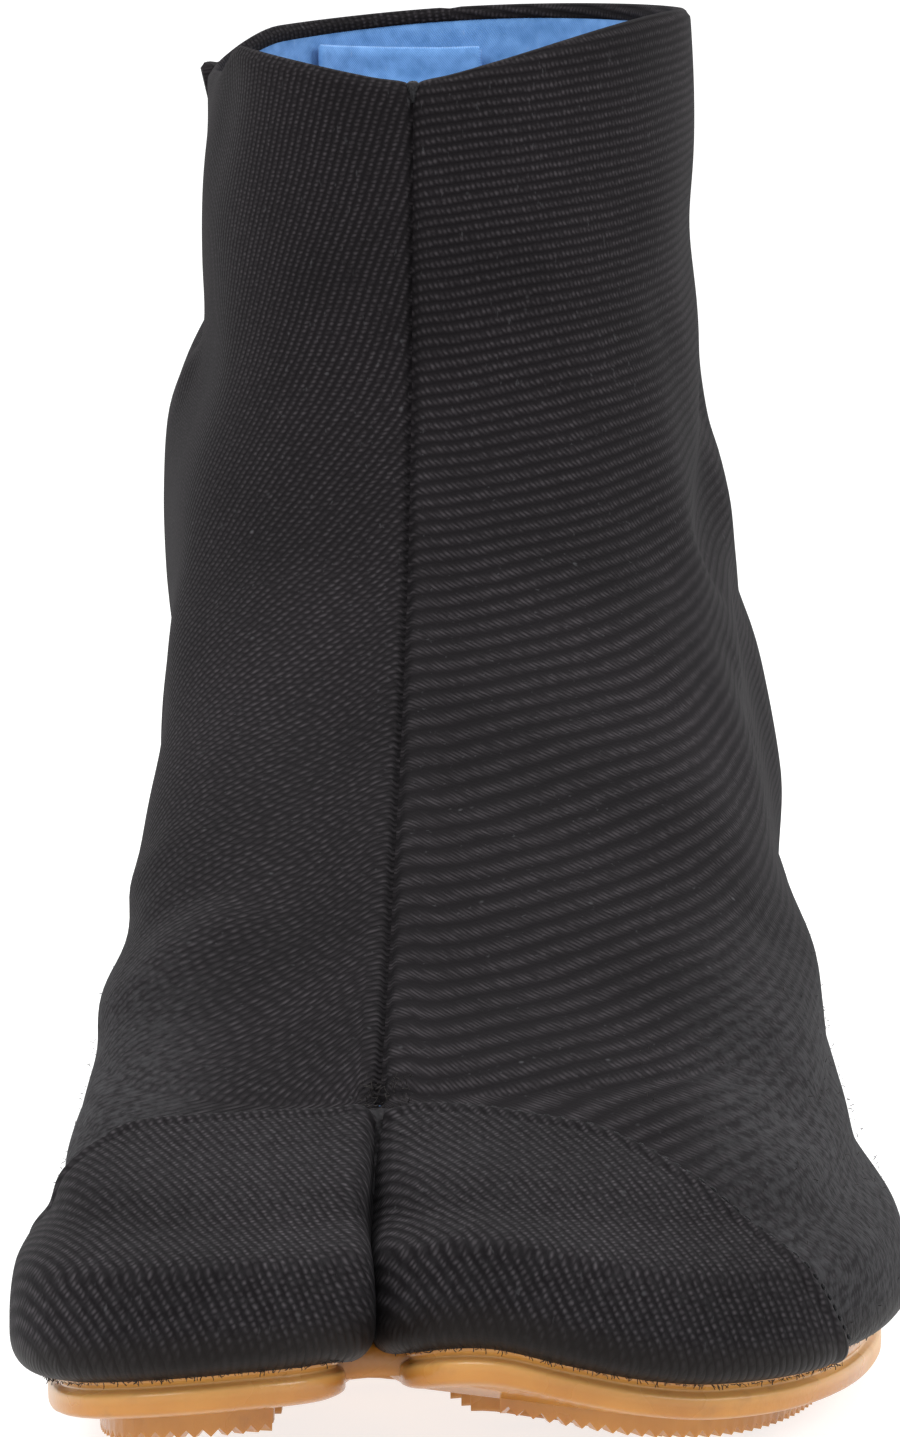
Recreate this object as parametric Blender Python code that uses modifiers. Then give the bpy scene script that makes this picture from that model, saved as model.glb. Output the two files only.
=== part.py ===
"""A left jika tabi: a split-toe cloth ankle boot on a gum rubber sole.

Metres, +Z up, toes towards -Y, big toe side at -X. The origin is on the floor, under the heel's flat spot.
Every curved piece is read from one surface, upper_point(), or from one outline, sole_outline().
"""

import math
from typing import NamedTuple

import bmesh
import bpy
import numpy as np

# Sole, from above
SOLE_LENGTH = 0.265
HEEL_BACK = 0.025
FOREFOOT_REST = 0.150
BALL_WIDTH = 0.093
WAIST_WIDTH = 0.064
HEEL_WIDTH = 0.0625
CLEFT_X = -0.0085
CLEFT_DEPTH = 0.033
CLEFT_MOUTH = 0.008
SOLE_CLEFT_GAP = 0.0065
UPPER_CLEFT_GAP = 0.0034

# Sole, from the side
SOLE_THICKNESS = 0.0052
TREAD_HEIGHT = 0.003
TREAD_INSET = 0.007
TREAD_BAR = 0.0062
TREAD_GROOVE = 0.0024
TOE_SPRING = 0.007
ARCH_RISE = 0.002
SIDE_STEP = 0.0009

# Cloth and lining
WALL = 0.002
INSOLE_THICKNESS = 0.0022
CAP_WALL = 0.0008
FLAP_WALL = 0.0018
BULGE = 0.0034
CLEARANCE = 0.0003
CAP_EASE = 0.00072

# Heights above the floor
TOE_HEIGHT = 0.0345
INSTEP_HEIGHT = 0.088
ANKLE_HEIGHT = 0.080
COLLAR_FRONT = 0.1525
COLLAR_SIDE = 0.1632
COLLAR_BACK = 0.1682
COLLAR_TILT = 0.06

# Shaft, from above
HEEL_CUP_WIDTH = 0.0908
ANKLE_WIDTH = 0.0850
SHAFT_WIDTH = 0.0718
COLLAR_WIDTH = 0.0705
SHAFT_FRONT = 0.080
COLLAR_FRONT_Y = 0.073
SHAFT_BACK = 0.022
SEAM_X = -0.005

# Closing
KOHAZE_COUNT = 5
KOHAZE_LENGTH = 0.013
KOHAZE_WIDTH = 0.0085
KOHAZE_THICKNESS = 0.0006
LOOP_CORD = 0.0008
LOOP_EASE = 0.0001
FLAP_ROOM = 0.0006
FLAP_STANDOFF = CLEARANCE + 2 * KOHAZE_THICKNESS + LOOP_EASE + LOOP_CORD + FLAP_ROOM
FLAP_CORNER = 0.0022

SOLE_TOP = TREAD_HEIGHT + SOLE_THICKNESS
FEATHER = SOLE_TOP + CLEARANCE
BACK_TO_FRONT = 180.0


class Station(NamedTuple):
    """One point of the foot's outline, from the cleft round the big toe side to the heel and back."""

    name: str
    along: float  # share of SOLE_LENGTH from the heel's back edge; of CLEFT_DEPTH, inside the cleft
    across: float  # share of the width named next, negative on the big toe side
    width: str
    around: float  # degrees round the shaft that this point runs up to
    swell: float  # share of a ring's outset
    rear: float  # 0 where a ring takes its toe share, 1 where it takes its heel share


OUTLINE = (
    Station("cleft end", 1.0, 0.0, "cleft", 0.0, 0.0, 0.0),
    Station("cleft wall, big toe", 0.45, -0.5, "cleft", 2.0, 0.0, 0.0),
    Station("big toe inner corner", 0.972, -0.135, "ball", 5.0, 0.55, 0.0),
    Station("big toe tip", 1.0, -0.262, "ball", 12.0, 0.8, 0.0),
    Station("big toe outer corner", 0.978, -0.408, "ball", 22.0, 0.85, 0.0),
    Station("big toe side", 0.915, -0.458, "ball", 33.0, 0.9, 0.0),
    Station("medial ball", 0.812, -0.450, "ball", 48.0, 0.8, 0.05),
    Station("behind medial ball", 0.717, -0.402, "ball", 58.0, 0.7, 0.25),
    Station("medial waist, front", 0.585, -0.348, "ball", 68.0, 0.7, 0.65),
    Station("medial waist", 0.453, -0.430, "waist", 80.0, 1.0, 1.0),
    Station("medial heel, front", 0.302, -0.432, "heel", 97.0, 1.0, 1.0),
    Station("medial heel", 0.150, -0.495, "heel", 125.0, 1.0, 1.0),
    Station("medial heel corner", 0.036, -0.350, "heel", 153.0, 1.0, 1.0),
    Station("heel back", 0.0, 0.0, "heel", 180.0, 1.0, 1.0),
    Station("lateral heel corner", 0.036, 0.350, "heel", 207.0, 1.0, 1.0),
    Station("lateral heel", 0.150, 0.505, "heel", 235.0, 1.0, 1.0),
    Station("lateral heel, front", 0.302, 0.528, "heel", 262.0, 1.0, 1.0),
    Station("lateral waist", 0.453, 0.570, "waist", 279.0, 1.0, 1.0),
    Station("lateral waist, front", 0.600, 0.466, "ball", 292.0, 1.0, 0.6),
    Station("lateral ball", 0.745, 0.528, "ball", 307.0, 1.0, 0.2),
    Station("little toe", 0.842, 0.495, "ball", 320.0, 0.95, 0.05),
    Station("toes outer corner", 0.918, 0.398, "ball", 331.0, 0.9, 0.0),
    Station("toes middle", 0.963, 0.240, "ball", 342.0, 0.85, 0.0),
    Station("toes tip", 0.978, 0.085, "ball", 350.0, 0.8, 0.0),
    Station("toes inner corner", 0.960, -0.033, "ball", 355.0, 0.55, 0.0),
    Station("cleft wall, toes", 0.45, 0.5, "cleft", 358.0, 0.0, 0.0),
)
STATIONS = len(OUTLINE)


class Ring(NamedTuple):
    """One level line of the upper, from the feather line at the sole to the collar."""

    name: str
    toe_share: float  # how far the toe end has gone from the foot's outline to the shaft's oval
    heel_share: float  # the same at the waist and heel
    outset: float  # share of BULGE, outwards from the outline
    front: float  # heights in storeys: 0 feather, 1 toes, 2 instep or ankle, 3 collar
    ball: float
    waist: float
    heel: float
    cleft: float  # share of the cleft's depth that is left
    spring: float  # share of the sole's rise that the ring follows
    oval: float  # place in the table of ovals


RINGS = (
    Ring("feather", 0.0, 0.0, -0.35, 0.0, 0.0, 0.0, 0.0, 1.0, 1.0, 0.0),
    Ring("turn", 0.0, 0.0, 0.9, 0.05, 0.05, 0.05, 0.05, 1.0, 1.0, 0.0),
    Ring("bulge", 0.0, 0.03, 1.1, 0.18, 0.18, 0.20, 0.22, 1.0, 1.0, 0.0),
    Ring("low wall", 0.0, 0.18, 0.85, 0.37, 0.42, 0.49, 0.60, 1.0, 0.9, 0.0),
    Ring("shoulder", 0.03, 0.50, 0.0, 0.54, 0.64, 0.79, 1.00, 1.0, 0.7, 0.0),
    Ring("toe edge", 0.07, 0.82, 0.1, 0.71, 0.85, 1.08, 1.25, 0.85, 0.5, 0.0),
    Ring("toe top", 0.13, 0.94, 0.0, 0.86, 1.02, 1.25, 1.47, 0.5, 0.3, 0.0),
    Ring("cap seam", 0.20, 1.0, 0.0, 1.0, 1.12, 1.43, 1.69, 0.12, 0.15, 0.1),
    Ring("vamp", 0.35, 1.0, 0.0, 1.18, 1.31, 1.69, 1.98, 0.0, 0.05, 0.5),
    Ring("low instep", 0.52, 1.0, 0.0, 1.42, 1.56, 1.98, 2.15, 0.0, 0.0, 1.0),
    Ring("instep", 0.70, 1.0, 0.0, 1.69, 1.84, 2.16, 2.32, 0.0, 0.0, 1.5),
    Ring("throat", 0.85, 1.0, 0.0, 2.0, 2.11, 2.34, 2.49, 0.0, 0.0, 2.0),
    Ring("ankle", 0.94, 1.0, 0.0, 2.31, 2.39, 2.53, 2.66, 0.0, 0.0, 3.0),
    Ring("shaft", 0.98, 1.0, 0.0, 2.65, 2.69, 2.76, 2.83, 0.0, 0.0, 3.5),
    Ring("collar", 1.0, 1.0, 0.0, 3.0, 3.0, 3.0, 3.0, 0.0, 0.0, 4.0),
)
LAST_RING = len(RINGS) - 1
COLUMNS = Ring._fields[1:]
CAP_FOOT = 1.0
CAP_RING = 7.0
FLAP_RING = 7.0


class Oval(NamedTuple):
    """One section of the shaft, from above."""

    name: str
    width: float
    medial: float  # share of the width on the big toe side of the origin
    front: float
    back: float


OVALS = (
    Oval("heel cup", HEEL_CUP_WIDTH, 0.431, SHAFT_FRONT, SHAFT_BACK + 0.0055),
    Oval("ankle", ANKLE_WIDTH, 0.458, SHAFT_FRONT, SHAFT_BACK + 0.0025),
    Oval("above the ankle", ANKLE_WIDTH * 0.92, 0.490, SHAFT_FRONT, SHAFT_BACK),
    Oval("shaft", SHAFT_WIDTH, 0.462, SHAFT_FRONT - 0.003, SHAFT_BACK - 0.0015),
    Oval("collar", COLLAR_WIDTH, 0.475, COLLAR_FRONT_Y, SHAFT_BACK),
)


class Spring(NamedTuple):
    """How much of the toe spring one line along the shoe takes: most beside the cleft, on the small toes."""

    across: float  # share of BALL_WIDTH, negative on the big toe side
    share: float


SPRINGS = (
    Spring(-0.50, 0.58),
    Spring(-0.38, 0.76),
    Spring(-0.24, 0.93),
    Spring(-0.15, 1.03),
    Spring(-0.09, 1.18),
    Spring(-0.045, 1.22),
    Spring(0.0, 1.31),
    Spring(0.05, 1.30),
    Spring(0.13, 1.02),
    Spring(0.22, 0.70),
    Spring(0.30, 0.50),
    Spring(0.56, 0.46),
)
SPRING_START = 0.72


class SideStep(NamedTuple):
    """One edge line of the sole's side, from the floor side up."""

    name: str
    outset: float  # share of SIDE_STEP
    height: float  # share of SOLE_THICKNESS


SIDE = (
    SideStep("bottom edge", -0.9, 0.0),
    SideStep("lower band, bottom", 0.6, 0.14),
    SideStep("lower band, top", 0.6, 0.52),
    SideStep("groove", -0.6, 0.60),
    SideStep("upper band, bottom", -0.2, 0.68),
    SideStep("upper band, top", 0.0, 1.0),
)


class Tread(NamedTuple):
    """One field of bars under the sole, as shares of SOLE_LENGTH from the heel's back edge."""

    name: str
    back: float
    front: float
    anchor: float  # the middle of the bar that the shoe's flat spot is on


TREADS = (
    Tread("heel", 0.020, 0.235, HEEL_BACK / SOLE_LENGTH),
    Tread("forefoot", 0.520, 0.968, (HEEL_BACK + FOREFOOT_REST) / SOLE_LENGTH),
)


def hermite(knots, values, x):
    """Smooth curve through values at unevenly spaced knots, read at x."""
    knots = np.asarray(knots, float)
    values = np.asarray(values, float)
    gaps = np.diff(knots)
    rates = np.diff(values, axis=0) / gaps.reshape((-1,) + (1,) * (values.ndim - 1))
    inner = (rates[1:] + rates[:-1]) / 2
    slopes = np.concatenate([rates[:1], inner, rates[-1:]])
    i = int(np.clip(np.searchsorted(knots, x, side="right") - 1, 0, len(gaps) - 1))
    s = (x - knots[i]) / gaps[i]
    start = values[i] * (2 * s**3 - 3 * s**2 + 1) + slopes[i] * gaps[i] * (s**3 - 2 * s**2 + s)
    end = values[i + 1] * (3 * s**2 - 2 * s**3) + slopes[i + 1] * gaps[i] * (s**3 - s**2)
    return start + end


def round_the_loop(values, u, turn=0.0):
    """A value at place u on the closed outline; turn is added to the values for each lap."""
    values = np.asarray(values, float)
    wrapped = np.concatenate([values[-2:] - turn, values, values[:3] + turn])
    return hermite(range(-2, STATIONS + 3), wrapped, u % STATIONS)


def station_points(gap, depth):
    """The outline's points for a cleft of this width and share of its full depth."""
    widths = {"ball": BALL_WIDTH, "waist": WAIST_WIDTH, "heel": HEEL_WIDTH}
    mouth = HEEL_BACK - SOLE_LENGTH + CLEFT_MOUTH
    points = []
    for row in OUTLINE:
        if row.width == "cleft":
            points.append((CLEFT_X + row.across * gap, mouth + row.along * CLEFT_DEPTH * depth))
        else:
            points.append((row.across * widths[row.width], HEEL_BACK - row.along * SOLE_LENGTH))
    return points


def outline_point(points, u, outset):
    """A point of the outline, moved outwards along its normal."""
    step = 0.02
    ahead = round_the_loop(points, u + step) - round_the_loop(points, u - step)
    normal = np.array((ahead[1], -ahead[0])) / max(np.hypot(*ahead), 1e-9)
    return round_the_loop(points, u) - normal * outset


def sole_outline(u, outset):
    """A point of the sole's edge, moved outwards."""
    return outline_point(station_points(SOLE_CLEFT_GAP, 1.0), u, outset)


def rise(x, y):
    """How far the sole stands above its flat run: the toe spring and the arch."""
    share = (HEEL_BACK - y) / SOLE_LENGTH
    across = float(np.clip(x / BALL_WIDTH, SPRINGS[0].across, SPRINGS[-1].across))
    twist = hermite([row.across for row in SPRINGS], [row.share for row in SPRINGS], across)
    spring = TOE_SPRING * twist * max(0.0, (share - SPRING_START) / (1 - SPRING_START)) ** 2
    arch = ARCH_RISE * math.sin(math.pi * np.clip((share - 0.27) / 0.23, 0.0, 1.0)) ** 2
    return spring + arch


def oval_point(place, degrees):
    """A point of the shaft's oval, from above."""
    rows = [row[1:] for row in OVALS]
    width, medial, front, back = hermite(range(len(OVALS)), rows, place)
    side = medial if degrees < BACK_TO_FRONT else 1.0 - medial
    angle = math.radians(degrees)
    fullness = 0.93
    swing = math.copysign(abs(math.sin(angle)) ** fullness, math.sin(angle))
    reach = math.copysign(abs(math.cos(angle)) ** fullness, math.cos(angle))
    middle = (back - front) / 2
    x = SEAM_X * (1 + math.cos(angle)) / 2 - swing * side * width
    return np.array((x, middle - reach * (front + back) / 2))


def ring_height(ring, degrees):
    """The height of a ring at this place round the shaft."""
    away = min(degrees, 360.0 - degrees)
    front = np.interp(ring["front"], range(4), (FEATHER, TOE_HEIGHT, INSTEP_HEIGHT, COLLAR_FRONT))
    ball_top = COLLAR_FRONT + (COLLAR_SIDE - COLLAR_FRONT) * 0.7
    ball = np.interp(ring["ball"], range(4), (FEATHER, TOE_HEIGHT, INSTEP_HEIGHT, ball_top))
    waist = np.interp(ring["waist"], range(4), (FEATHER, TOE_HEIGHT, ANKLE_HEIGHT, COLLAR_SIDE))
    heel = np.interp(ring["heel"], range(4), (FEATHER, TOE_HEIGHT, ANKLE_HEIGHT, COLLAR_BACK))
    return float(hermite((0, 50, 90, 180, 270), (front, ball, waist, heel, waist), away))


def upper_point(u, t):
    """The outside of the upper at u round the outline and t rings up from the sole."""
    rows = [row[1:] for row in RINGS]
    ring = dict(zip(COLUMNS, hermite(range(len(RINGS)), rows, t)))
    degrees = round_the_loop([row.around for row in OUTLINE], u, turn=360.0) % 360.0
    swell = round_the_loop([row.swell for row in OUTLINE], u)
    rear = np.clip(round_the_loop([row.rear for row in OUTLINE], u), 0.0, 1.0)
    share = ring["toe_share"] + (ring["heel_share"] - ring["toe_share"]) * rear
    share = float(np.clip(share, 0.0, 1.0))
    points = station_points(UPPER_CLEFT_GAP, float(np.clip(ring["cleft"], 0.0, 1.0)))
    low = outline_point(points, u, ring["outset"] * BULGE * swell)
    x, y = low + (oval_point(ring["oval"], degrees) - low) * share
    tilt = COLLAR_TILT * x * np.clip(t / LAST_RING * 2 - 1, 0.0, 1.0)
    return np.array((x, y, ring_height(ring, degrees) + rise(x, y) * ring["spring"] + tilt))


def upper_normal(u, t):
    """The outward direction of the upper at u and t."""
    du, dt = 0.03, 0.05
    low, high = max(t - dt, 0.0), min(t + dt, float(LAST_RING))
    across = upper_point(u + du, t) - upper_point(u - du, t)
    up = upper_point(u, high) - upper_point(u, low)
    normal = np.cross(up, across)
    return normal / max(np.linalg.norm(normal), 1e-12)


def outside_point(u, t, outset):
    """A point this far outside the upper."""
    return upper_point(u, t) + upper_normal(u, t) * outset


def material(name, colour, roughness, metallic=0.0):
    """A Principled material."""
    made = bpy.data.materials.new(name)
    made.use_nodes = True
    shader = made.node_tree.nodes["Principled BSDF"]
    shader.inputs["Base Color"].default_value = (*colour, 1.0)
    shader.inputs["Roughness"].default_value = roughness
    shader.inputs["Metallic"].default_value = metallic
    return made


def add_object(name, data, finish, home):
    """An object with its material, in a collection."""
    thing = bpy.data.objects.new(name, data)
    data.materials.append(finish)
    home.objects.link(thing)
    return thing


def mesh_from(name, points, faces):
    """A mesh with its doubles merged and flat faces dropped."""
    mesh = bpy.data.meshes.new(name)
    mesh.from_pydata([tuple(p) for p in points], [], faces)
    bm = bmesh.new()
    bm.from_mesh(mesh)
    bmesh.ops.remove_doubles(bm, verts=bm.verts, dist=0.00002)
    bm.to_mesh(mesh)
    bm.free()
    mesh.shade_smooth()
    return mesh


def grid_faces(rows, columns, closed):
    """Triangles of a grid, always split along the same diagonal."""
    faces = []
    for j in range(rows - 1):
        for i in range(columns if closed else columns - 1):
            a, b = j * columns + i, j * columns + (i + 1) % columns
            c, d = b + columns, a + columns
            faces += [(a, c, b), (a, d, c)]
    return faces


def steps_between(start, end, per_unit):
    """Places at whole fractions of a unit, with both ends."""
    inner = np.arange(math.floor(start * per_unit) + 1, math.ceil(end * per_unit)) / per_unit
    return [start, *inner, end]


def solidify(thing, thickness, side):
    """Gives an open surface its wall; side 1 adds it outside, -1 inside."""
    wall = thing.modifiers.new("wall", "SOLIDIFY")
    wall.thickness = thickness
    wall.offset = side
    wall.use_rim = True
    return wall


ROUND_STEPS = 2
UP_STEPS = 2
CAP_STEPS = 4


def make_upper(finish, home):
    """The hollow cloth wall."""
    us = np.arange(STATIONS * ROUND_STEPS) / ROUND_STEPS
    ts = steps_between(0.0, float(LAST_RING), UP_STEPS)
    points = [upper_point(u, t) for t in ts for u in us]
    mesh = mesh_from("upper", points, grid_faces(len(ts), len(us), closed=True))
    solidify(add_object("upper", mesh, finish, home), WALL, -1)


def cap_edge(u, rows):
    """How many rings up the cap reaches at u."""
    return float(hermite([row[0] for row in rows], [row[1] for row in rows], u))


# Where each cap's seam runs: station round the outline, rings up from the sole
BIG_TOE_SEAM = ((1.0, 6.7), (2.0, 6.8), (3.0, 6.75), (4.0, 6.15), (5.0, 4.2), (6.0, 1.9), (6.3, CAP_FOOT))
TOES_SEAM = ((20.6, CAP_FOOT), (21.0, 2.6), (22.0, 5.6), (23.0, 6.6), (24.0, 6.8), (25.0, 6.7))


def make_cap(name, seam, finish, home):
    """A cap sewn over one lobe, cut from the upper's own surface along its seam."""
    us = steps_between(seam[0][0], seam[-1][0], CAP_STEPS)
    ts = steps_between(CAP_FOOT, CAP_RING, UP_STEPS)
    points = []
    for t in ts:
        for u in us:
            points.append(outside_point(u, min(t, max(cap_edge(u, seam), CAP_FOOT)), CAP_EASE))
    mesh = mesh_from(name, points, grid_faces(len(ts), len(us), closed=False))
    solidify(add_object(name, mesh, finish, home), CAP_WALL, 1)


FLAP_EDGE = 11.0
FLAP_BACK = 13.5
FLAP_DIP = 0.33


def flap_top(u):
    """How many rings up the flap reaches: its free corner is cut lower than the collar."""
    return LAST_RING - FLAP_DIP * float(np.clip(FLAP_BACK - 0.5 - u, 0.0, 1.0))


def flap_gap(u, t):
    """How far the flap's inner face stands off the upper: room for the clasps at its free edge."""
    open_share = np.clip((13.0 - u) / 1.0, 0.0, 1.0)
    corner = FLAP_CORNER * open_share * np.clip(t - LAST_RING + 1.6, 0.0, 1.6) / 1.6
    foot = np.clip((t - FLAP_RING) / 0.8, 0.25, 1.0)
    return CLEARANCE + (FLAP_STANDOFF - CLEARANCE) * open_share * foot + corner


def make_flap(finish, home):
    """The heel-side flap, lying over the big toe side of the shaft."""
    us = steps_between(FLAP_EDGE, FLAP_BACK, ROUND_STEPS)
    ts = steps_between(FLAP_RING, float(LAST_RING), UP_STEPS)
    points = []
    for t in ts:
        for u in us:
            height = FLAP_RING + (t - FLAP_RING) * (flap_top(u) - FLAP_RING) / (LAST_RING - FLAP_RING)
            points.append(outside_point(u, height, flap_gap(u, height)))
    mesh = mesh_from("closing_flap", points, grid_faces(len(ts), len(us), closed=False))
    solidify(add_object("closing_flap", mesh, finish, home), FLAP_WALL, 1)


def place_at_height(u, height):
    """The ring number at which the upper reaches this height at u."""
    low, high = 0.0, float(LAST_RING)
    for _ in range(30):
        middle = (low + high) / 2
        if upper_point(u, middle)[2] < height:
            low = middle
        else:
            high = middle
    return low


def place_beyond(u, t, distance):
    """The place round the outline this far behind u, measured over the surface at t."""
    step = 0.05
    here = upper_point(u, t)
    gone = 0.0
    while gone < distance:
        u += step
        ahead = upper_point(u, t)
        gone += float(np.linalg.norm(ahead - here))
        here = ahead
    return u


def clasp_heights():
    """The middle heights of the clasps, evenly up the flap."""
    lowest = upper_point(FLAP_EDGE, FLAP_RING + 1.0)[2] + KOHAZE_WIDTH
    highest = upper_point(FLAP_EDGE, flap_top(FLAP_EDGE))[2] - KOHAZE_WIDTH * 1.1
    return np.linspace(lowest, highest, KOHAZE_COUNT)


def make_kohaze(number, height, finish, home):
    """A flat clasp between the flap and the upper, its round tip towards the toes."""
    tip_u = FLAP_EDGE + 0.2
    tip_t = place_at_height(tip_u, height)
    back_u = place_beyond(tip_u, tip_t, KOHAZE_LENGTH)
    us = np.linspace(tip_u, back_u, 6)
    outset = KOHAZE_THICKNESS
    rows = 3
    points = []
    for j in range(rows):
        for u in us:
            along = (u - tip_u) / (back_u - tip_u)
            half = KOHAZE_WIDTH / 2 * math.sqrt(1 - (1 - min(along * 1.6 + 0.12, 1.0)) ** 2)
            z = height + half * (2 * j / (rows - 1) - 1)
            points.append(outside_point(u, place_at_height(u, z), outset))
    name = f"kohaze_{number}"
    mesh = mesh_from(name, points, grid_faces(rows, len(us), closed=False))
    solidify(add_object(name, mesh, finish, home), KOHAZE_THICKNESS, 1)


def make_loop(number, height, finish, home):
    """A cord loop that stands on the upper and passes over the clasp."""
    tip_u = FLAP_EDGE + 0.2
    middle_u = place_beyond(tip_u, place_at_height(tip_u, height), KOHAZE_LENGTH * 0.42)
    foot = CLEARANCE + LOOP_CORD / 2
    top = 2 * KOHAZE_THICKNESS + CLEARANCE + LOOP_CORD / 2 + LOOP_EASE
    reach = KOHAZE_WIDTH / 2 + LOOP_CORD / 2 + 0.0005
    half = ((1.15, foot), (1.0, (foot + top) / 2), (0.9, top))
    route = [*((-share, z) for share, z in half), (0.0, top), *half[::-1]]
    name = f"thread_loop_{number}"
    curve = bpy.data.curves.new(name, "CURVE")
    curve.dimensions = "3D"
    curve.bevel_depth = LOOP_CORD / 2
    curve.bevel_resolution = 2
    curve.use_fill_caps = True
    spline = curve.splines.new("POLY")
    spline.points.add(len(route) - 1)
    for point, (share, outset) in zip(spline.points, route):
        t = place_at_height(middle_u, height + share * reach)
        point.co = (*outside_point(middle_u, t, outset), 1.0)
    add_object(name, curve, finish, home)


def cut_across_spring(bm):
    """Cuts the faces under the toes along the shoe, where the spring changes from side to side."""
    start = HEEL_BACK - SPRING_START * SOLE_LENGTH
    for row in SPRINGS[5:11:2]:
        faces = [face for face in bm.faces if face.calc_center_median().y < start]
        edges = list({edge for face in faces for edge in face.edges})
        verts = list({vert for face in faces for vert in face.verts})
        place = (row.across * BALL_WIDTH, 0, 0)
        bmesh.ops.bisect_plane(bm, geom=verts + edges + faces, plane_co=place, plane_no=(1, 0, 0), dist=1e-6)


def capped_loft(name, rings, finish, home):
    """A solid through closed rings, its ends closed and cut into strips along its length."""
    count = len(rings[0])
    bm = bmesh.new()
    rows = [[bm.verts.new(tuple(p)) for p in ring] for ring in rings]
    for low, high in zip(rows, rows[1:]):
        for i in range(count):
            j = (i + 1) % count
            bm.faces.new((low[i], high[i], high[j], low[j]))
    bm.faces.new(rows[0])
    bm.faces.new(rows[-1][::-1])
    for y in np.arange(HEEL_BACK - SOLE_LENGTH, HEEL_BACK, SOLE_LENGTH / 26) + 0.0004:
        everything = bm.verts[:] + bm.edges[:] + bm.faces[:]
        bmesh.ops.bisect_plane(bm, geom=everything, plane_co=(0, y, 0), plane_no=(0, 1, 0), dist=1e-6)
    cut_across_spring(bm)
    for vert in bm.verts:
        vert.co.z += rise(vert.co.x, vert.co.y)
    bmesh.ops.triangulate(bm, faces=[face for face in bm.faces if len(face.verts) > 4])
    bmesh.ops.recalc_face_normals(bm, faces=bm.faces)
    mesh = bpy.data.meshes.new(name)
    bm.to_mesh(mesh)
    bm.free()
    return add_object(name, mesh, finish, home)


def crossings(points, y):
    """The x places where a closed outline of points crosses this y, in order."""
    found = []
    for (x0, y0), (x1, y1) in zip(points, points[1:] + points[:1]):
        if (y0 < y) != (y1 < y):
            found.append(x0 + (x1 - x0) * (y - y0) / (y1 - y0))
    return sorted(found)


def tread_bars(home, finish):
    """The bars under the heel and forefoot, as one mesh of closed prisms to join to the sole."""
    inset = [tuple(sole_outline(u, -TREAD_INSET)) for u in np.arange(0, STATIONS, 0.25)]
    bm = bmesh.new()
    pitch = TREAD_BAR + TREAD_GROOVE
    for field in TREADS:
        back, front, anchor = (HEEL_BACK - share * SOLE_LENGTH for share in field[1:])
        first = math.ceil((front + TREAD_BAR / 2 - anchor) / pitch)
        last = math.floor((back - TREAD_BAR / 2 - anchor) / pitch)
        for k in range(first, last + 1):
            y0 = anchor + k * pitch - TREAD_BAR / 2
            y1 = y0 + TREAD_BAR
            for x0, x1 in bar_spans(inset, y0, y1):
                add_bar(bm, x0, x1, y0, y1)
    bmesh.ops.recalc_face_normals(bm, faces=bm.faces)
    mesh = bpy.data.meshes.new("tread bars")
    bm.to_mesh(mesh)
    bm.free()
    bars = add_object("tread bars", mesh, finish, home)
    bars.hide_render = True
    bars.display_type = "WIRE"
    return bars


def bar_spans(inset, y0, y1):
    """The x spans of a bar between two y lines, inside the inset outline."""
    ends = [crossings(inset, y) for y in (y0, (y0 + y1) / 2, y1)]
    if min(len(end) for end in ends) < 2 or len({len(end) for end in ends}) > 1:
        return []
    spans = []
    for k in range(0, len(ends[0]), 2):
        x0 = max(end[k] for end in ends)
        x1 = min(end[k + 1] for end in ends)
        if x1 - x0 > TREAD_BAR:
            spans.append((x0, x1))
    return spans


def add_bar(bm, x0, x1, y0, y1):
    """One bar, its underside following the sole's rise and its top sunk into the sole."""
    top = TREAD_HEIGHT + SOLE_THICKNESS * 0.3
    places = [x0, *(row.across * BALL_WIDTH for row in SPRINGS if x0 < row.across * BALL_WIDTH < x1), x1]
    rings = []
    for x in places:
        corners = ((y0, 0.0), (y1, 0.0), (y1, top), (y0, top))
        rings.append([bm.verts.new((x, y, z + rise(x, y))) for y, z in corners])
    for near, far in zip(rings, rings[1:]):
        for i in range(4):
            j = (i + 1) % 4
            bm.faces.new((near[i], near[j], far[j], far[i]))
    bm.faces.new(rings[0][::-1])
    bm.faces.new(rings[-1])


def make_outsole(finish, home, tools):
    """The gum rubber sole with its stepped side and tread bars."""
    us = np.arange(STATIONS * ROUND_STEPS) / ROUND_STEPS
    rings = []
    for row in SIDE:
        z = TREAD_HEIGHT + row.height * SOLE_THICKNESS
        rings.append([(*sole_outline(u, row.outset * SIDE_STEP), z) for u in us])
    sole = capped_loft("outsole", rings, finish, home)
    join = sole.modifiers.new("tread", "BOOLEAN")
    join.operation = "UNION"
    join.solver = "EXACT"
    join.object = tread_bars(tools, finish)


def make_insole(finish, home):
    """The sock lining inside the upper, on the sole."""
    us = np.arange(STATIONS * ROUND_STEPS) / ROUND_STEPS
    points = station_points(SOLE_CLEFT_GAP, 1.0)
    inset = BULGE * 0.35 + WALL + 3 * CLEARANCE
    bottom = SOLE_TOP + 1.5 * CLEARANCE
    edge = [outline_point(points, u, -inset) for u in us]
    rings = [[(*p, z) for p in edge] for z in (bottom, bottom + INSOLE_THICKNESS)]
    capped_loft("insole", rings, finish, home)


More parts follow.
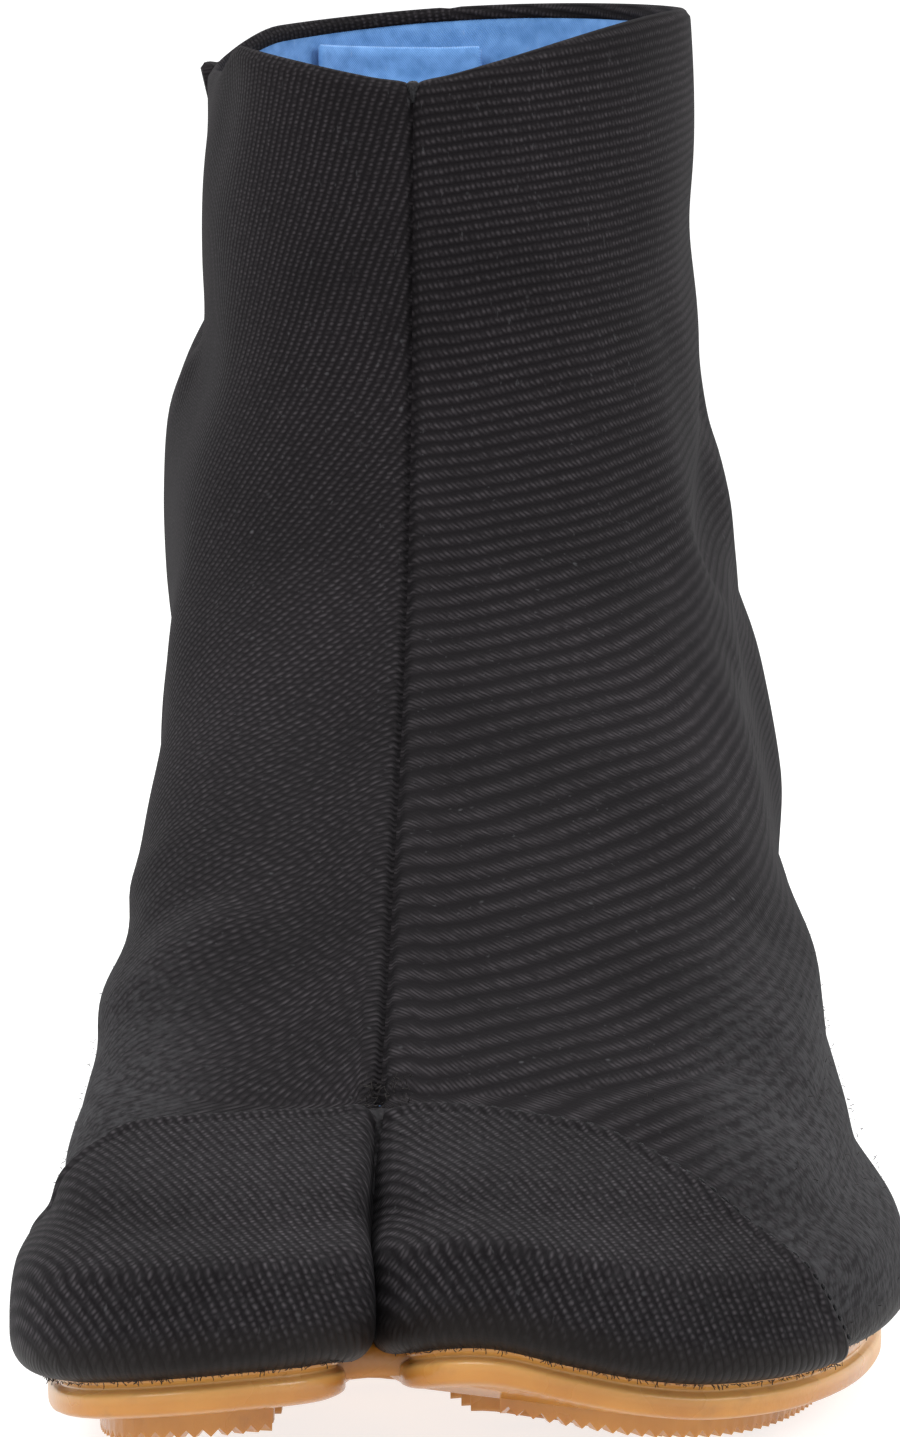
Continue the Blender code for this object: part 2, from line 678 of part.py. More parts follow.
def main():
    """Clears the scene and builds the shoe."""
    for thing in list(bpy.data.objects):
        bpy.data.objects.remove(thing)
    home = bpy.data.collections.new("jika tabi")
    tools = bpy.data.collections.new("joined shapes")
    bpy.context.scene.collection.children.link(home)
    bpy.context.scene.collection.children.link(tools)
    twill = material("black twill", (0.012, 0.011, 0.013), 0.85)
    rubber = material("gum rubber", (0.56, 0.28, 0.08), 0.45)
    sock = material("insole cloth", (0.20, 0.34, 0.55), 0.9)
    brass = material("clasp metal", (0.75, 0.58, 0.30), 0.35, metallic=1.0)
    thread = material("black thread", (0.02, 0.02, 0.022), 0.8)
    make_outsole(rubber, home, tools)
    make_insole(sock, home)
    make_upper(twill, home)
    make_cap("toe_cap_big_toe", BIG_TOE_SEAM, twill, home)
    make_cap("toe_cap_toes", TOES_SEAM, twill, home)
    make_flap(twill, home)
    for number, height in enumerate(clasp_heights(), start=1):
        make_kohaze(number, height, brass, home)
        make_loop(number, height, thread, home)


main()
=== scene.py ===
"""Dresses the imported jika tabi: cloth panels, caps, flap, lining, stitches and a gum rubber sole.

Metres, +Z up, toes towards -Y, big toe side at -X, as in the part's source. Every curved piece is read from
the same surface of the last as the solids: u goes round the outline, t goes up the rings from sole to collar.
"""

import logging
import math
from dataclasses import dataclass, field
from enum import Enum
from typing import Any, NamedTuple, Sequence

import bmesh
import bpy
import numpy as np
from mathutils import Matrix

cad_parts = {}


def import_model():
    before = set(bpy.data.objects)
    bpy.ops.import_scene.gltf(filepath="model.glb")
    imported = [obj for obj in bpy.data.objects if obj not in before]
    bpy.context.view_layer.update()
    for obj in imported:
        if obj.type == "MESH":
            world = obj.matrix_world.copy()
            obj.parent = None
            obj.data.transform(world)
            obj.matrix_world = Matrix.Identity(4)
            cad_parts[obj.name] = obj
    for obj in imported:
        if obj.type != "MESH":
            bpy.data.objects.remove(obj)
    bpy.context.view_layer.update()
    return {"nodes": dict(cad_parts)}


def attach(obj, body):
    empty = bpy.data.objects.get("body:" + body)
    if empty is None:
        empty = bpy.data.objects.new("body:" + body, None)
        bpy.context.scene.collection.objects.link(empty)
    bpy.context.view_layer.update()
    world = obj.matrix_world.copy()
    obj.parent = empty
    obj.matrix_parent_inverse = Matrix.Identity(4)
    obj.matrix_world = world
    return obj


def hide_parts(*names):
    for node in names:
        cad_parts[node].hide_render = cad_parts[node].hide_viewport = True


LOG = logging.getLogger("jika_tabi")
MM = 0.001
SEED = 7
BODY = "root"
CLOTH_UV = "cloth"
EDGE_ROUNDING = 0.45
Array = np.ndarray
Colour = tuple[float, float, float]


class Slot(Enum):
    """The record's material slots."""

    TWILL = "black_twill"
    RUBBER = "gum_rubber"
    LINING = "blue_lining"
    METAL = "clasp_metal"
    THREAD = "black_thread"


def hermite(knots: Sequence[float], values: Array, x: Array) -> Array:
    """Smooth curves through values at unevenly spaced knots.

    Args:
        knots: Where the values stand.
        values: One value for each knot, or one row of values with a column for each x.
        x: Where the curves are read.

    Returns:
        One value for each x.
    """
    knots = np.asarray(knots, float)
    values = np.asarray(values, float)
    if values.ndim == 1:
        values = values[:, None]
    values = np.broadcast_to(values, (len(knots), x.size))
    gaps = np.diff(knots)
    rates = np.diff(values, axis=0) / gaps[:, None]
    slopes = np.concatenate([rates[:1], (rates[1:] + rates[:-1]) / 2, rates[-1:]])
    i = np.clip(np.searchsorted(knots, x, side="right") - 1, 0, len(gaps) - 1)
    column = np.arange(x.size)
    gap = gaps[i]
    s = (x - knots[i]) / gap
    start = values[i, column] * (2 * s**3 - 3 * s**2 + 1) + slopes[i, column] * gap * (s**3 - 2 * s**2 + s)
    end = values[i + 1, column] * (3 * s**2 - 2 * s**3) + slopes[i + 1, column] * gap * (s**3 - s**2)
    return start + end


def smooth(low: float, high: float, x: Array) -> Array:
    """A soft step from 0 at low to 1 at high."""
    s = np.clip((x - low) / (high - low), 0.0, 1.0)
    return s * s * (3 - 2 * s)


def bell(x: Array | float, middle: float, width: float) -> Array:
    """A soft hump, 1 at its middle."""
    return np.exp(-(((x - middle) / width) ** 2))


class Station(NamedTuple):
    """One point of the foot's outline."""

    along: float
    across: float
    width: str
    around: float
    swell: float
    rear: float


OUTLINE = (
    Station(1.0, 0.0, "cleft", 0.0, 0.0, 0.0),
    Station(0.45, -0.5, "cleft", 2.0, 0.0, 0.0),
    Station(0.972, -0.135, "ball", 5.0, 0.55, 0.0),
    Station(1.0, -0.262, "ball", 12.0, 0.8, 0.0),
    Station(0.978, -0.408, "ball", 22.0, 0.85, 0.0),
    Station(0.915, -0.458, "ball", 33.0, 0.9, 0.0),
    Station(0.812, -0.450, "ball", 48.0, 0.8, 0.05),
    Station(0.717, -0.402, "ball", 58.0, 0.7, 0.25),
    Station(0.585, -0.348, "ball", 68.0, 0.7, 0.65),
    Station(0.453, -0.430, "waist", 80.0, 1.0, 1.0),
    Station(0.302, -0.432, "heel", 97.0, 1.0, 1.0),
    Station(0.150, -0.495, "heel", 125.0, 1.0, 1.0),
    Station(0.036, -0.350, "heel", 153.0, 1.0, 1.0),
    Station(0.0, 0.0, "heel", 180.0, 1.0, 1.0),
    Station(0.036, 0.350, "heel", 207.0, 1.0, 1.0),
    Station(0.150, 0.505, "heel", 235.0, 1.0, 1.0),
    Station(0.302, 0.528, "heel", 262.0, 1.0, 1.0),
    Station(0.453, 0.570, "waist", 279.0, 1.0, 1.0),
    Station(0.600, 0.466, "ball", 292.0, 1.0, 0.6),
    Station(0.745, 0.528, "ball", 307.0, 1.0, 0.2),
    Station(0.842, 0.495, "ball", 320.0, 0.95, 0.05),
    Station(0.918, 0.398, "ball", 331.0, 0.9, 0.0),
    Station(0.963, 0.240, "ball", 342.0, 0.85, 0.0),
    Station(0.978, 0.085, "ball", 350.0, 0.8, 0.0),
    Station(0.960, -0.033, "ball", 355.0, 0.55, 0.0),
    Station(0.45, 0.5, "cleft", 358.0, 0.0, 0.0),
)
STATIONS = len(OUTLINE)
BACK_SEAM = STATIONS / 2


class Ring(NamedTuple):
    """One level line of the upper, from the feather line to the collar."""

    toe_share: float
    heel_share: float
    outset: float
    front: float
    ball: float
    waist: float
    heel: float
    cleft: float
    spring: float
    oval: float


RINGS = (
    Ring(0.0, 0.0, -0.35, 0.0, 0.0, 0.0, 0.0, 1.0, 1.0, 0.0),
    Ring(0.0, 0.0, 0.9, 0.05, 0.05, 0.05, 0.05, 1.0, 1.0, 0.0),
    Ring(0.0, 0.03, 1.1, 0.18, 0.18, 0.20, 0.22, 1.0, 1.0, 0.0),
    Ring(0.0, 0.18, 0.85, 0.37, 0.42, 0.49, 0.60, 1.0, 0.9, 0.0),
    Ring(0.03, 0.50, 0.0, 0.54, 0.64, 0.79, 1.00, 1.0, 0.7, 0.0),
    Ring(0.07, 0.82, 0.1, 0.71, 0.85, 1.08, 1.25, 0.85, 0.5, 0.0),
    Ring(0.13, 0.94, 0.0, 0.86, 1.02, 1.25, 1.47, 0.5, 0.3, 0.0),
    Ring(0.20, 1.0, 0.0, 1.0, 1.12, 1.43, 1.69, 0.12, 0.15, 0.1),
    Ring(0.35, 1.0, 0.0, 1.18, 1.31, 1.69, 1.98, 0.0, 0.05, 0.5),
    Ring(0.52, 1.0, 0.0, 1.42, 1.56, 1.98, 2.15, 0.0, 0.0, 1.0),
    Ring(0.70, 1.0, 0.0, 1.69, 1.84, 2.16, 2.32, 0.0, 0.0, 1.5),
    Ring(0.85, 1.0, 0.0, 2.0, 2.11, 2.34, 2.49, 0.0, 0.0, 2.0),
    Ring(0.94, 1.0, 0.0, 2.31, 2.39, 2.53, 2.66, 0.0, 0.0, 3.0),
    Ring(0.98, 1.0, 0.0, 2.65, 2.69, 2.76, 2.83, 0.0, 0.0, 3.5),
    Ring(1.0, 1.0, 0.0, 3.0, 3.0, 3.0, 3.0, 0.0, 0.0, 4.0),
)
COLLAR = float(len(RINGS) - 1)


class Spring(NamedTuple):
    """How much of the toe spring one line along the shoe takes."""

    across: float
    share: float


SPRINGS = (
    Spring(-0.50, 0.58),
    Spring(-0.38, 0.76),
    Spring(-0.24, 0.93),
    Spring(-0.15, 1.03),
    Spring(-0.09, 1.18),
    Spring(-0.045, 1.22),
    Spring(0.0, 1.31),
    Spring(0.05, 1.30),
    Spring(0.13, 1.02),
    Spring(0.22, 0.70),
    Spring(0.30, 0.50),
    Spring(0.56, 0.46),
)


class Crease(NamedTuple):
    """A soft trough or ridge between two places on the surface."""

    start: tuple[float, float]
    end: tuple[float, float]
    width: float
    depth: float


CREASES = (
    Crease((12.6, 12.9), (9.3, 11.9), 4.5 * MM, -1.7 * MM),
    Crease((12.0, 12.45), (9.0, 11.55), 4.0 * MM, 0.9 * MM),
    Crease((9.6, 9.4), (6.9, 8.2), 7.0 * MM, -1.1 * MM),
    Crease((6.6, 6.6), (3.6, 8.4), 4.2 * MM, 0.8 * MM),
    Crease((7.3, 7.2), (5.0, 8.7), 4.4 * MM, 0.6 * MM),
    Crease((6.9, 7.2), (4.0, 8.6), 4.2 * MM, -0.7 * MM),
    Crease((16.4, 10.9), (18.4, 10.3), 6.0 * MM, -1.6 * MM),
    Crease((16.0, 10.2), (18.6, 9.5), 5.0 * MM, 0.9 * MM),
    Crease((18.4, 7.6), (20.5, 7.0), 5.0 * MM, 0.8 * MM),
    Crease((18.0, 8.2), (20.2, 7.9), 5.0 * MM, -0.8 * MM),
    Crease((18.6, 6.4), (20.6, 5.6), 6.0 * MM, -0.6 * MM),
    Crease((14.6, 9.3), (16.6, 9.0), 6.0 * MM, -0.9 * MM),
    Crease((13.4, 10.4), (15.4, 10.0), 5.0 * MM, -0.7 * MM),
    Crease((15.0, 12.6), (18.6, 12.2), 8.0 * MM, -0.7 * MM),
    Crease((24.6, 12.2), (21.8, 11.2), 9.0 * MM, -0.5 * MM),
    Crease((1.6, 12.0), (4.6, 11.0), 9.0 * MM, -0.5 * MM),
    Crease((7.4, 13.7), (8.8, 13.9), 13.0 * MM, -2.4 * MM),
)


@dataclass(frozen=True)
class Last:
    """The shape that the shoe was pulled over, in the part's own sizes."""

    sole_length: float = 0.265
    heel_back: float = 0.025
    ball_width: float = 0.093
    waist_width: float = 0.064
    heel_width: float = 0.0625
    cleft_x: float = -0.0085
    cleft_depth: float = 0.033
    cleft_mouth: float = 0.008
    sole_cleft_gap: float = 0.0065
    upper_cleft_gap: float = 0.0034
    toe_spring: float = 0.007
    arch_rise: float = 0.002
    bulge: float = 0.0034
    feather: float = 0.0080
    toe_height: float = 0.0345
    instep_height: float = 0.088
    ankle_height: float = 0.080
    collar_front: float = 0.1525
    collar_side: float = 0.1632
    collar_back: float = 0.1682
    collar_tilt: float = 0.06
    seam_x: float = -0.005
    spring_start: float = 0.72
    arch_start: float = 0.27
    arch_span: float = 0.23
    squareness: float = 0.93
    medial_drop: float = 0.0048
    unevenness: float = 0.35 * MM
    oval_width: tuple[float, ...] = (0.0908, 0.0850, 0.0782, 0.0718, 0.0705)
    oval_medial: tuple[float, ...] = (0.431, 0.458, 0.490, 0.462, 0.475)
    oval_front: tuple[float, ...] = (0.080, 0.080, 0.080, 0.077, 0.073)
    oval_back: tuple[float, ...] = (0.0275, 0.0245, 0.022, 0.0205, 0.022)

    def loop(self, values: Array, u: Array, turn: float = 0.0) -> Array:
        """Values on the closed outline.

        Args:
            values: One for each station, or a row of them for each station.
            u: Places round the outline.
            turn: What a whole lap adds.

        Returns:
            One value for each u.
        """
        values = np.asarray(values, float)
        wrapped = np.concatenate([values[-2:] - turn, values, values[:3] + turn])
        return hermite(range(-2, STATIONS + 3), wrapped, u % STATIONS)

    def outline(self, u: Array, outset: Array | float, gap: float, depth: Array) -> tuple[Array, Array]:
        """Points of the foot's outline, moved outwards.

        Args:
            u: Places round the outline.
            outset: How far outwards.
            gap: The cleft's width.
            depth: The share of the cleft's depth that is left.

        Returns:
            The x and y of each point.
        """
        widths = {"ball": self.ball_width, "waist": self.waist_width, "heel": self.heel_width}
        mouth = self.heel_back - self.sole_length + self.cleft_mouth
        xs, ys = [], []
        for row in OUTLINE:
            if row.width == "cleft":
                xs.append(np.full(u.size, self.cleft_x + row.across * gap))
                ys.append(mouth + row.along * self.cleft_depth * depth)
            else:
                xs.append(np.full(u.size, row.across * widths[row.width]))
                ys.append(np.full(u.size, self.heel_back - row.along * self.sole_length))
        xs, ys = np.array(xs), np.array(ys)
        step = 0.02
        ahead_x = self.loop(xs, u + step) - self.loop(xs, u - step)
        ahead_y = self.loop(ys, u + step) - self.loop(ys, u - step)
        length = np.maximum(np.hypot(ahead_x, ahead_y), 1e-9)
        return self.loop(xs, u) - ahead_y / length * outset, self.loop(ys, u) + ahead_x / length * outset

    def rise(self, x: Array, y: Array) -> Array:
        """How far the sole stands above its flat run.

        Args:
            x: Places across.
            y: Places along.

        Returns:
            The toe spring and the arch, in metres.
        """
        share = (self.heel_back - y) / self.sole_length
        across = np.clip(x / self.ball_width, SPRINGS[0].across, SPRINGS[-1].across)
        rows = [row.across for row in SPRINGS]
        twist = hermite(rows, [row.share for row in SPRINGS], np.ravel(across)).reshape(np.shape(across))
        toes = np.maximum(0.0, (share - self.spring_start) / (1 - self.spring_start))
        arch = np.clip((share - self.arch_start) / self.arch_span, 0.0, 1.0)
        return self.toe_spring * twist * toes**2 + self.arch_rise * np.sin(math.pi * arch) ** 2

    def oval(self, place: Array, degrees: Array) -> tuple[Array, Array]:
        """Points of the shaft's ovals, from above.

        Args:
            place: Places in the table of ovals.
            degrees: Angles from the front seam, round the big toe side.

        Returns:
            The x and y of each point.
        """
        rows = range(len(self.oval_width))
        width, medial, front, back = (
            hermite(rows, column, place)
            for column in (self.oval_width, self.oval_medial, self.oval_front, self.oval_back)
        )
        side = np.where(degrees < 180.0, medial, 1.0 - medial)
        angle = np.radians(degrees)
        swing = np.sign(np.sin(angle)) * np.abs(np.sin(angle)) ** self.squareness
        reach = np.sign(np.cos(angle)) * np.abs(np.cos(angle)) ** self.squareness
        x = self.seam_x * (1 + np.cos(angle)) / 2 - swing * side * width
        return x, (back - front) / 2 - reach * (front + back) / 2

    def height(self, t: Array, degrees: Array) -> Array:
        """The height of the rings.

        Args:
            t: Ring numbers.
            degrees: Angles from the front seam.

        Returns:
            Heights without the toe spring.
        """
        ball_top = self.collar_front + (self.collar_side - self.collar_front) * 0.7
        tops = {
            "front": (self.instep_height, self.collar_front),
            "ball": (self.instep_height, ball_top),
            "waist": (self.ankle_height, self.collar_side),
            "heel": (self.ankle_height, self.collar_back),
        }
        rows = []
        for name, (middle, top) in tops.items():
            storeys = hermite(range(len(RINGS)), [getattr(ring, name) for ring in RINGS], t)
            rows.append(np.interp(storeys, range(4), (self.feather, self.toe_height, middle, top)))
        away = np.minimum(degrees, 360.0 - degrees)
        front, ball, waist, heel = rows
        return hermite((0, 50, 90, 180, 270), np.array((front, ball, waist, heel, waist)), away)

    def point(self, u: Array, t: Array) -> Array:
        """The outside of the upper.

        Args:
            u: Places round the outline, of any shape.
            t: Ring numbers, of the same shape.

        Returns:
            Points, with a last axis of three.
        """
        shape = np.shape(u)
        u, t = np.ravel(u).astype(float), np.ravel(t).astype(float)
        column = {
            name: hermite(range(len(RINGS)), [getattr(ring, name) for ring in RINGS], t)
            for name in ("toe_share", "heel_share", "outset", "cleft", "spring", "oval")
        }
        degrees = self.loop([row.around for row in OUTLINE], u, turn=360.0) % 360.0
        swell = self.loop([row.swell for row in OUTLINE], u)
        rear = np.clip(self.loop([row.rear for row in OUTLINE], u), 0.0, 1.0)
        share = np.clip(column["toe_share"] + (column["heel_share"] - column["toe_share"]) * rear, 0.0, 1.0)
        depth = np.clip(column["cleft"], 0.0, 1.0)
        low_x, low_y = self.outline(u, column["outset"] * self.bulge * swell, self.upper_cleft_gap, depth)
        oval_x, oval_y = self.oval(column["oval"], degrees)
        x = low_x + (oval_x - low_x) * share
        y = low_y + (oval_y - low_y) * share
        tilt = self.collar_tilt * x * np.clip(t / COLLAR * 2 - 1, 0.0, 1.0)
        z = self.height(t, degrees) + self.rise(x, y) * column["spring"] + tilt
        return np.stack((x, y, z), axis=-1).reshape(*shape, 3)

    def normal(self, u: Array, t: Array) -> Array:
        """The outward directions of the upper at u and t."""
        du, dt = 0.03, 0.05
        across = self.point(u + du, t) - self.point(u - du, t)
        up = self.point(u, np.minimum(t + dt, COLLAR)) - self.point(u, np.maximum(t - dt, 0.0))
        normal = np.cross(up, across)
        return normal / np.maximum(np.linalg.norm(normal, axis=-1, keepdims=True), 1e-12)

    def relief(self, points: Array) -> Array:
        """How far the worn cloth stands off the last: creases, and a slow unevenness.

        Args:
            points: Points on the outside of the upper.

        Returns:
            An outset for each point.
        """
        total = np.zeros(points.shape[:-1])
        for crease in CREASES:
            us, ts = np.linspace(crease.start, crease.end, 9).T
            reach = distance_to_line(points, self.point(us, ts))
            total += crease.depth * bell(reach, 0.0, crease.width)
        x, y, z = (points[..., i] for i in range(3))
        waves = np.sin(x * 71 + z * 93) * np.sin(y * 64 - z * 51 + 1.3)
        waves += 0.5 * np.sin(y * 141 + x * 118 + z * 87)
        fade = smooth(self.feather + 4 * MM, self.feather + 25 * MM, z)
        return total + self.unevenness * waves * fade

    def cloth(self, u: Array, t: Array, outset: Array | float) -> Array:
        """Points this far outside the worn cloth, whose collar sinks on the big toe side."""
        base = self.point(u, t)
        sunk = smooth(6.4, 9.0, u) * (1 - smooth(9.8, 11.2, u)) * smooth(COLLAR - 0.7, COLLAR, t)
        base[..., 2] -= self.medial_drop * sunk
        off = self.relief(base) + outset
        return base + self.normal(u, t) * off[..., None]


def distance_to_line(points: Array, line: Array) -> Array:
    """The distance of each point to a line of straight pieces.

    Args:
        points: Points, with a last axis of three.
        line: The line's corners.

    Returns:
        One distance for each point.
    """
    best = np.full(points.shape[:-1], np.inf)
    for start, end in zip(line[:-1], line[1:]):
        way = end - start
        share = np.clip(((points - start) @ way) / max(float(way @ way), 1e-18), 0.0, 1.0)
        best = np.minimum(best, np.linalg.norm(points - start - share[..., None] * way, axis=-1))
    return best


LAST = Last()


# Building meshes


def new_object(name: str, mesh: bpy.types.Mesh, finish: bpy.types.Material) -> bpy.types.Object:
    """Links a mesh as an object with one material.

    Args:
        name: The piece's name.
        mesh: Its mesh.
        finish: Its material.

    Returns:
        The object.
    """
    piece = bpy.data.objects.new(name, mesh)
    mesh.materials.append(finish)
    bpy.context.scene.collection.objects.link(piece)
    return piece


def hand_over(piece: bpy.types.Object, slot: Slot, *nodes: str) -> None:
    """Lets a finished piece ride on the shoe.

    Args:
        piece: The piece.
        slot: The material slot of its finish; not used.
        nodes: CAD nodes that it stands for.
    """
    piece.data.shade_smooth()
    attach(piece, BODY)
    if nodes:
        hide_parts(*nodes)
    LOG.info("%s: %d faces", piece.name, len(piece.data.polygons))


def mesh_from(
    name: str, points: Array, faces: list[tuple[int, ...]], merged: bool = True, solid: bool = False
) -> bpy.types.Mesh:
    """A mesh from points and faces.

    Args:
        name: The mesh's name.
        points: Its points.
        faces: Its faces.
        merged: Whether points that meet are merged.
        solid: Whether it is closed, so that its faces are turned outwards.

    Returns:
        The mesh.
    """
    mesh = bpy.data.meshes.new(name)
    mesh.from_pydata(points.reshape(-1, 3).tolist(), [], faces)
    bm = bmesh.new()
    bm.from_mesh(mesh)
    if merged:
        bmesh.ops.remove_doubles(bm, verts=bm.verts, dist=0.004 * MM)
        bmesh.ops.dissolve_degenerate(bm, edges=bm.edges, dist=0.002 * MM)
    if solid:
        bmesh.ops.recalc_face_normals(bm, faces=bm.faces)
    bm.to_mesh(mesh)
    bm.free()
    return mesh


def mesh_of(name: str, bm: bmesh.types.BMesh) -> bpy.types.Mesh:
    """A mesh that takes over a finished bmesh."""
    mesh = bpy.data.meshes.new(name)
    bm.to_mesh(mesh)
    bm.free()
    return mesh


def tube_faces(count: int, sides: int) -> list[tuple[int, ...]]:
    """The faces of a closed tube.

    Args:
        count: How many rings it has.
        sides: How many points each ring has.

    Returns:
        Its faces, with the two ends last.
    """
    faces: list[tuple[int, ...]] = []
    for j in range(count - 1):
        for i in range(sides):
            a, b = j * sides + i, j * sides + (i + 1) % sides
            faces.append((a, b, b + sides, a + sides))
    return [*faces, tuple(range(sides))[::-1], tuple((count - 1) * sides + i for i in range(sides))]


def shell(
    name: str,
    outer: Array,
    inner: Array,
    cloth: Array,
    finish: bpy.types.Material,
    wrap: bool = False,
    masks: dict[str, Array] | None = None,
) -> bpy.types.Object:
    """A closed piece of cloth from an outer and an inner grid, with rounded edges.

    Args:
        name: The piece's name.
        outer: Outer points, rows going up by columns going round.
        inner: Inner points of the same places.
        cloth: The place of each point on the flat cloth, in metres.
        finish: Its material.
        wrap: Whether the columns close round the shoe.
        masks: Values from 0 to 1 that its material reads.

    Returns:
        The object.
    """
    rows, columns = outer.shape[:2]
    count = rows * columns
    outside, inside, places = outer.reshape(-1, 3), inner.reshape(-1, 3), cloth.reshape(-1, 2)
    carried = {key: value.reshape(-1) for key, value in (masks or {}).items()}
    points, flat = [outside, inside], [places, places]
    extra = {key: [value, value] for key, value in carried.items()}
    index = np.arange(count).reshape(rows, columns)
    faces: list[tuple[int, ...]] = []
    for j in range(rows - 1):
        for i in range(columns if wrap else columns - 1):
            n = (i + 1) % columns
            a, b, c, d = (int(index[place]) for place in ((j, i), (j, n), (j + 1, n), (j + 1, i)))
            faces.append((a, d, c, b))
            faces.append((a + count, b + count, c + count, d + count))
    edges = [(index[0], index[1], False), (index[-1], index[-2], True)]
    if not wrap:
        edges += [(index[:, 0], index[:, 1], True), (index[:, -1], index[:, -2], False)]
    made = 2 * count
    for line, behind, turned in edges:
        away = outside[line] - outside[behind]
        away /= np.maximum(np.linalg.norm(away, axis=-1, keepdims=True), 1e-9)
        thick = np.linalg.norm(outside[line] - inside[line], axis=-1, keepdims=True)
        points.append((outside[line] + inside[line]) / 2 + away * thick * EDGE_ROUNDING)
        flat.append(places[line])
        for key, value in carried.items():
            extra[key].append(value[line])
        rim = made + np.arange(len(line))
        for k in range(len(line) if wrap else len(line) - 1):
            n = (k + 1) % len(line)
            first = (int(line[k]), int(line[n]), int(rim[n]), int(rim[k]))
            second = (int(rim[k]), int(rim[n]), int(line[n]) + count, int(line[k]) + count)
            faces += [face[::-1] if turned else face for face in (first, second)]
        made += len(line)
    mesh = bpy.data.meshes.new(name)
    mesh.from_pydata(np.concatenate(points).tolist(), [], faces)
    uv = mesh.uv_layers.new(name=CLOTH_UV)
    corners = np.empty(len(mesh.loops), dtype=np.int32)
    mesh.loops.foreach_get("vertex_index", corners)
    uv.data.foreach_set("uv", np.concatenate(flat)[corners].ravel())
    for key, value in extra.items():
        mesh.attributes.new(key, "FLOAT", "POINT").data.foreach_set("value", np.concatenate(value))
    bm = bmesh.new()
    bm.from_mesh(mesh)
    bmesh.ops.remove_doubles(bm, verts=bm.verts, dist=0.002 * MM)
    if not wrap:
        holes = [edge for edge in bm.edges if edge.is_boundary]
        bmesh.ops.holes_fill(bm, edges=holes, sides=6)
    bm.to_mesh(mesh)
    bm.free()
    return new_object(name, mesh, finish)


def tube(
    name: str, path: Array, radius: Array | float, sides: int, finish: bpy.types.Material
) -> bpy.types.Object:
    """A round cord along a path, with closed ends.

    Args:
        name: The piece's name.
        path: Points along it.
        radius: Its radius, the same all along or one for each point.
        sides: How many sides it has.
        finish: Its material.

    Returns:
        The object.
    """
    radii = np.broadcast_to(np.asarray(radius, float), (len(path),))
    ahead = np.gradient(path, axis=0)
    ahead /= np.linalg.norm(ahead, axis=1, keepdims=True)
    aside = np.array((0.31, 0.22, 0.93))
    turns = np.linspace(0, 2 * math.pi, sides, endpoint=False)[:, None]
    rings = []
    for place, way, size in zip(path, ahead, radii):
        first = np.cross(way, aside)
        first /= np.linalg.norm(first)
        second = np.cross(way, first)
        rings.append(place + size * (np.cos(turns) * first + np.sin(turns) * second))
    faces = tube_faces(len(path), sides)
    return new_object(name, mesh_from(name, np.concatenate(rings), faces, merged=False, solid=True), finish)


# Shader and geometry nodes


class Board:
    """Adds and joins the nodes of one tree."""

    def __init__(self, tree: bpy.types.NodeTree) -> None:
        """Keeps the tree."""
        self.tree = tree

    def put(self, node: bpy.types.Node, values: dict[Any, Any]) -> bpy.types.Node:
        """Fills a node's inputs.

        Args:
            node: The node.
            values: A socket or a value for each input's name or number.

        Returns:
            The same node.
        """
        for key, value in values.items():
            if isinstance(value, bpy.types.NodeSocket):
                self.tree.links.new(value, node.inputs[key])
            else:
                node.inputs[key].default_value = value
        return node

    def add(self, kind: str, values: dict[Any, Any] | None = None, **settings: Any) -> bpy.types.Node:
        """One node.

        Args:
            kind: Its type.
            values: What goes into its inputs.
            settings: Its own settings.

        Returns:
            The node.
        """
        node = self.tree.nodes.new(kind)
        for key, value in settings.items():
            setattr(node, key, value)
        return self.put(node, values or {})

    def sum(self, operation: str, *terms: Any) -> bpy.types.NodeSocket:
        """The result of a Math node."""
        return self.add("ShaderNodeMath", dict(enumerate(terms)), operation=operation).outputs[0]

    def mix(self, factor: Any, first: Any, second: Any) -> bpy.types.NodeSocket:
        """A colour between two others, each a socket or three linear values."""
        values = {0: factor, 6: first, 7: second}
        for key in (6, 7):
            if not isinstance(values[key], bpy.types.NodeSocket):
                values[key] = (*values[key], 1.0)
        return self.add("ShaderNodeMix", values, data_type="RGBA").outputs[2]

    def scaled(self, vector: Any, by: Any) -> bpy.types.NodeSocket:
        """A vector multiplied by another."""
        return self.add("ShaderNodeVectorMath", {0: vector, 1: by}, operation="MULTIPLY").outputs[0]

    def noise(self, place: bpy.types.NodeSocket, scale: float, detail: float = 2.0) -> bpy.types.NodeSocket:
        """A noise value from 0 to 1."""
        node = self.add("ShaderNodeTexNoise", {"Vector": place, "Scale": scale, "Detail": detail})
        return node.outputs["Fac"]

    def ramp(self, value: Any, low: float, high: float, first: float = 0.0, last: float = 1.0) -> Any:
        """A value moved from one span to another and held there."""
        return self.add("ShaderNodeMapRange", {0: value, 1: low, 2: high, 3: first, 4: last}).outputs[0]

    def bump(self, height: Any, depth: float, strength: float) -> bpy.types.NodeSocket:
        """A normal bent by a height."""
        values = {"Strength": strength, "Distance": depth, "Height": height}
        return self.add("ShaderNodeBump", values).outputs[0]

    def mask(self, name: str) -> bpy.types.NodeSocket:
        """A mask that the mesh carries."""
        return self.add("ShaderNodeAttribute", attribute_name=name).outputs["Fac"]


def new_finish(name: str) -> tuple[bpy.types.Material, Board, bpy.types.Node, bpy.types.NodeSocket]:
    """An empty material.

    Args:
        name: Its name.

    Returns:
        The material, a board on its tree, its Principled shader and its object coordinates.
    """
    made = bpy.data.materials.new(name)
    made.use_nodes = True
    board = Board(made.node_tree)
    shader = made.node_tree.nodes["Principled BSDF"]
    return made, board, shader, board.add("ShaderNodeTexCoord").outputs["Object"]


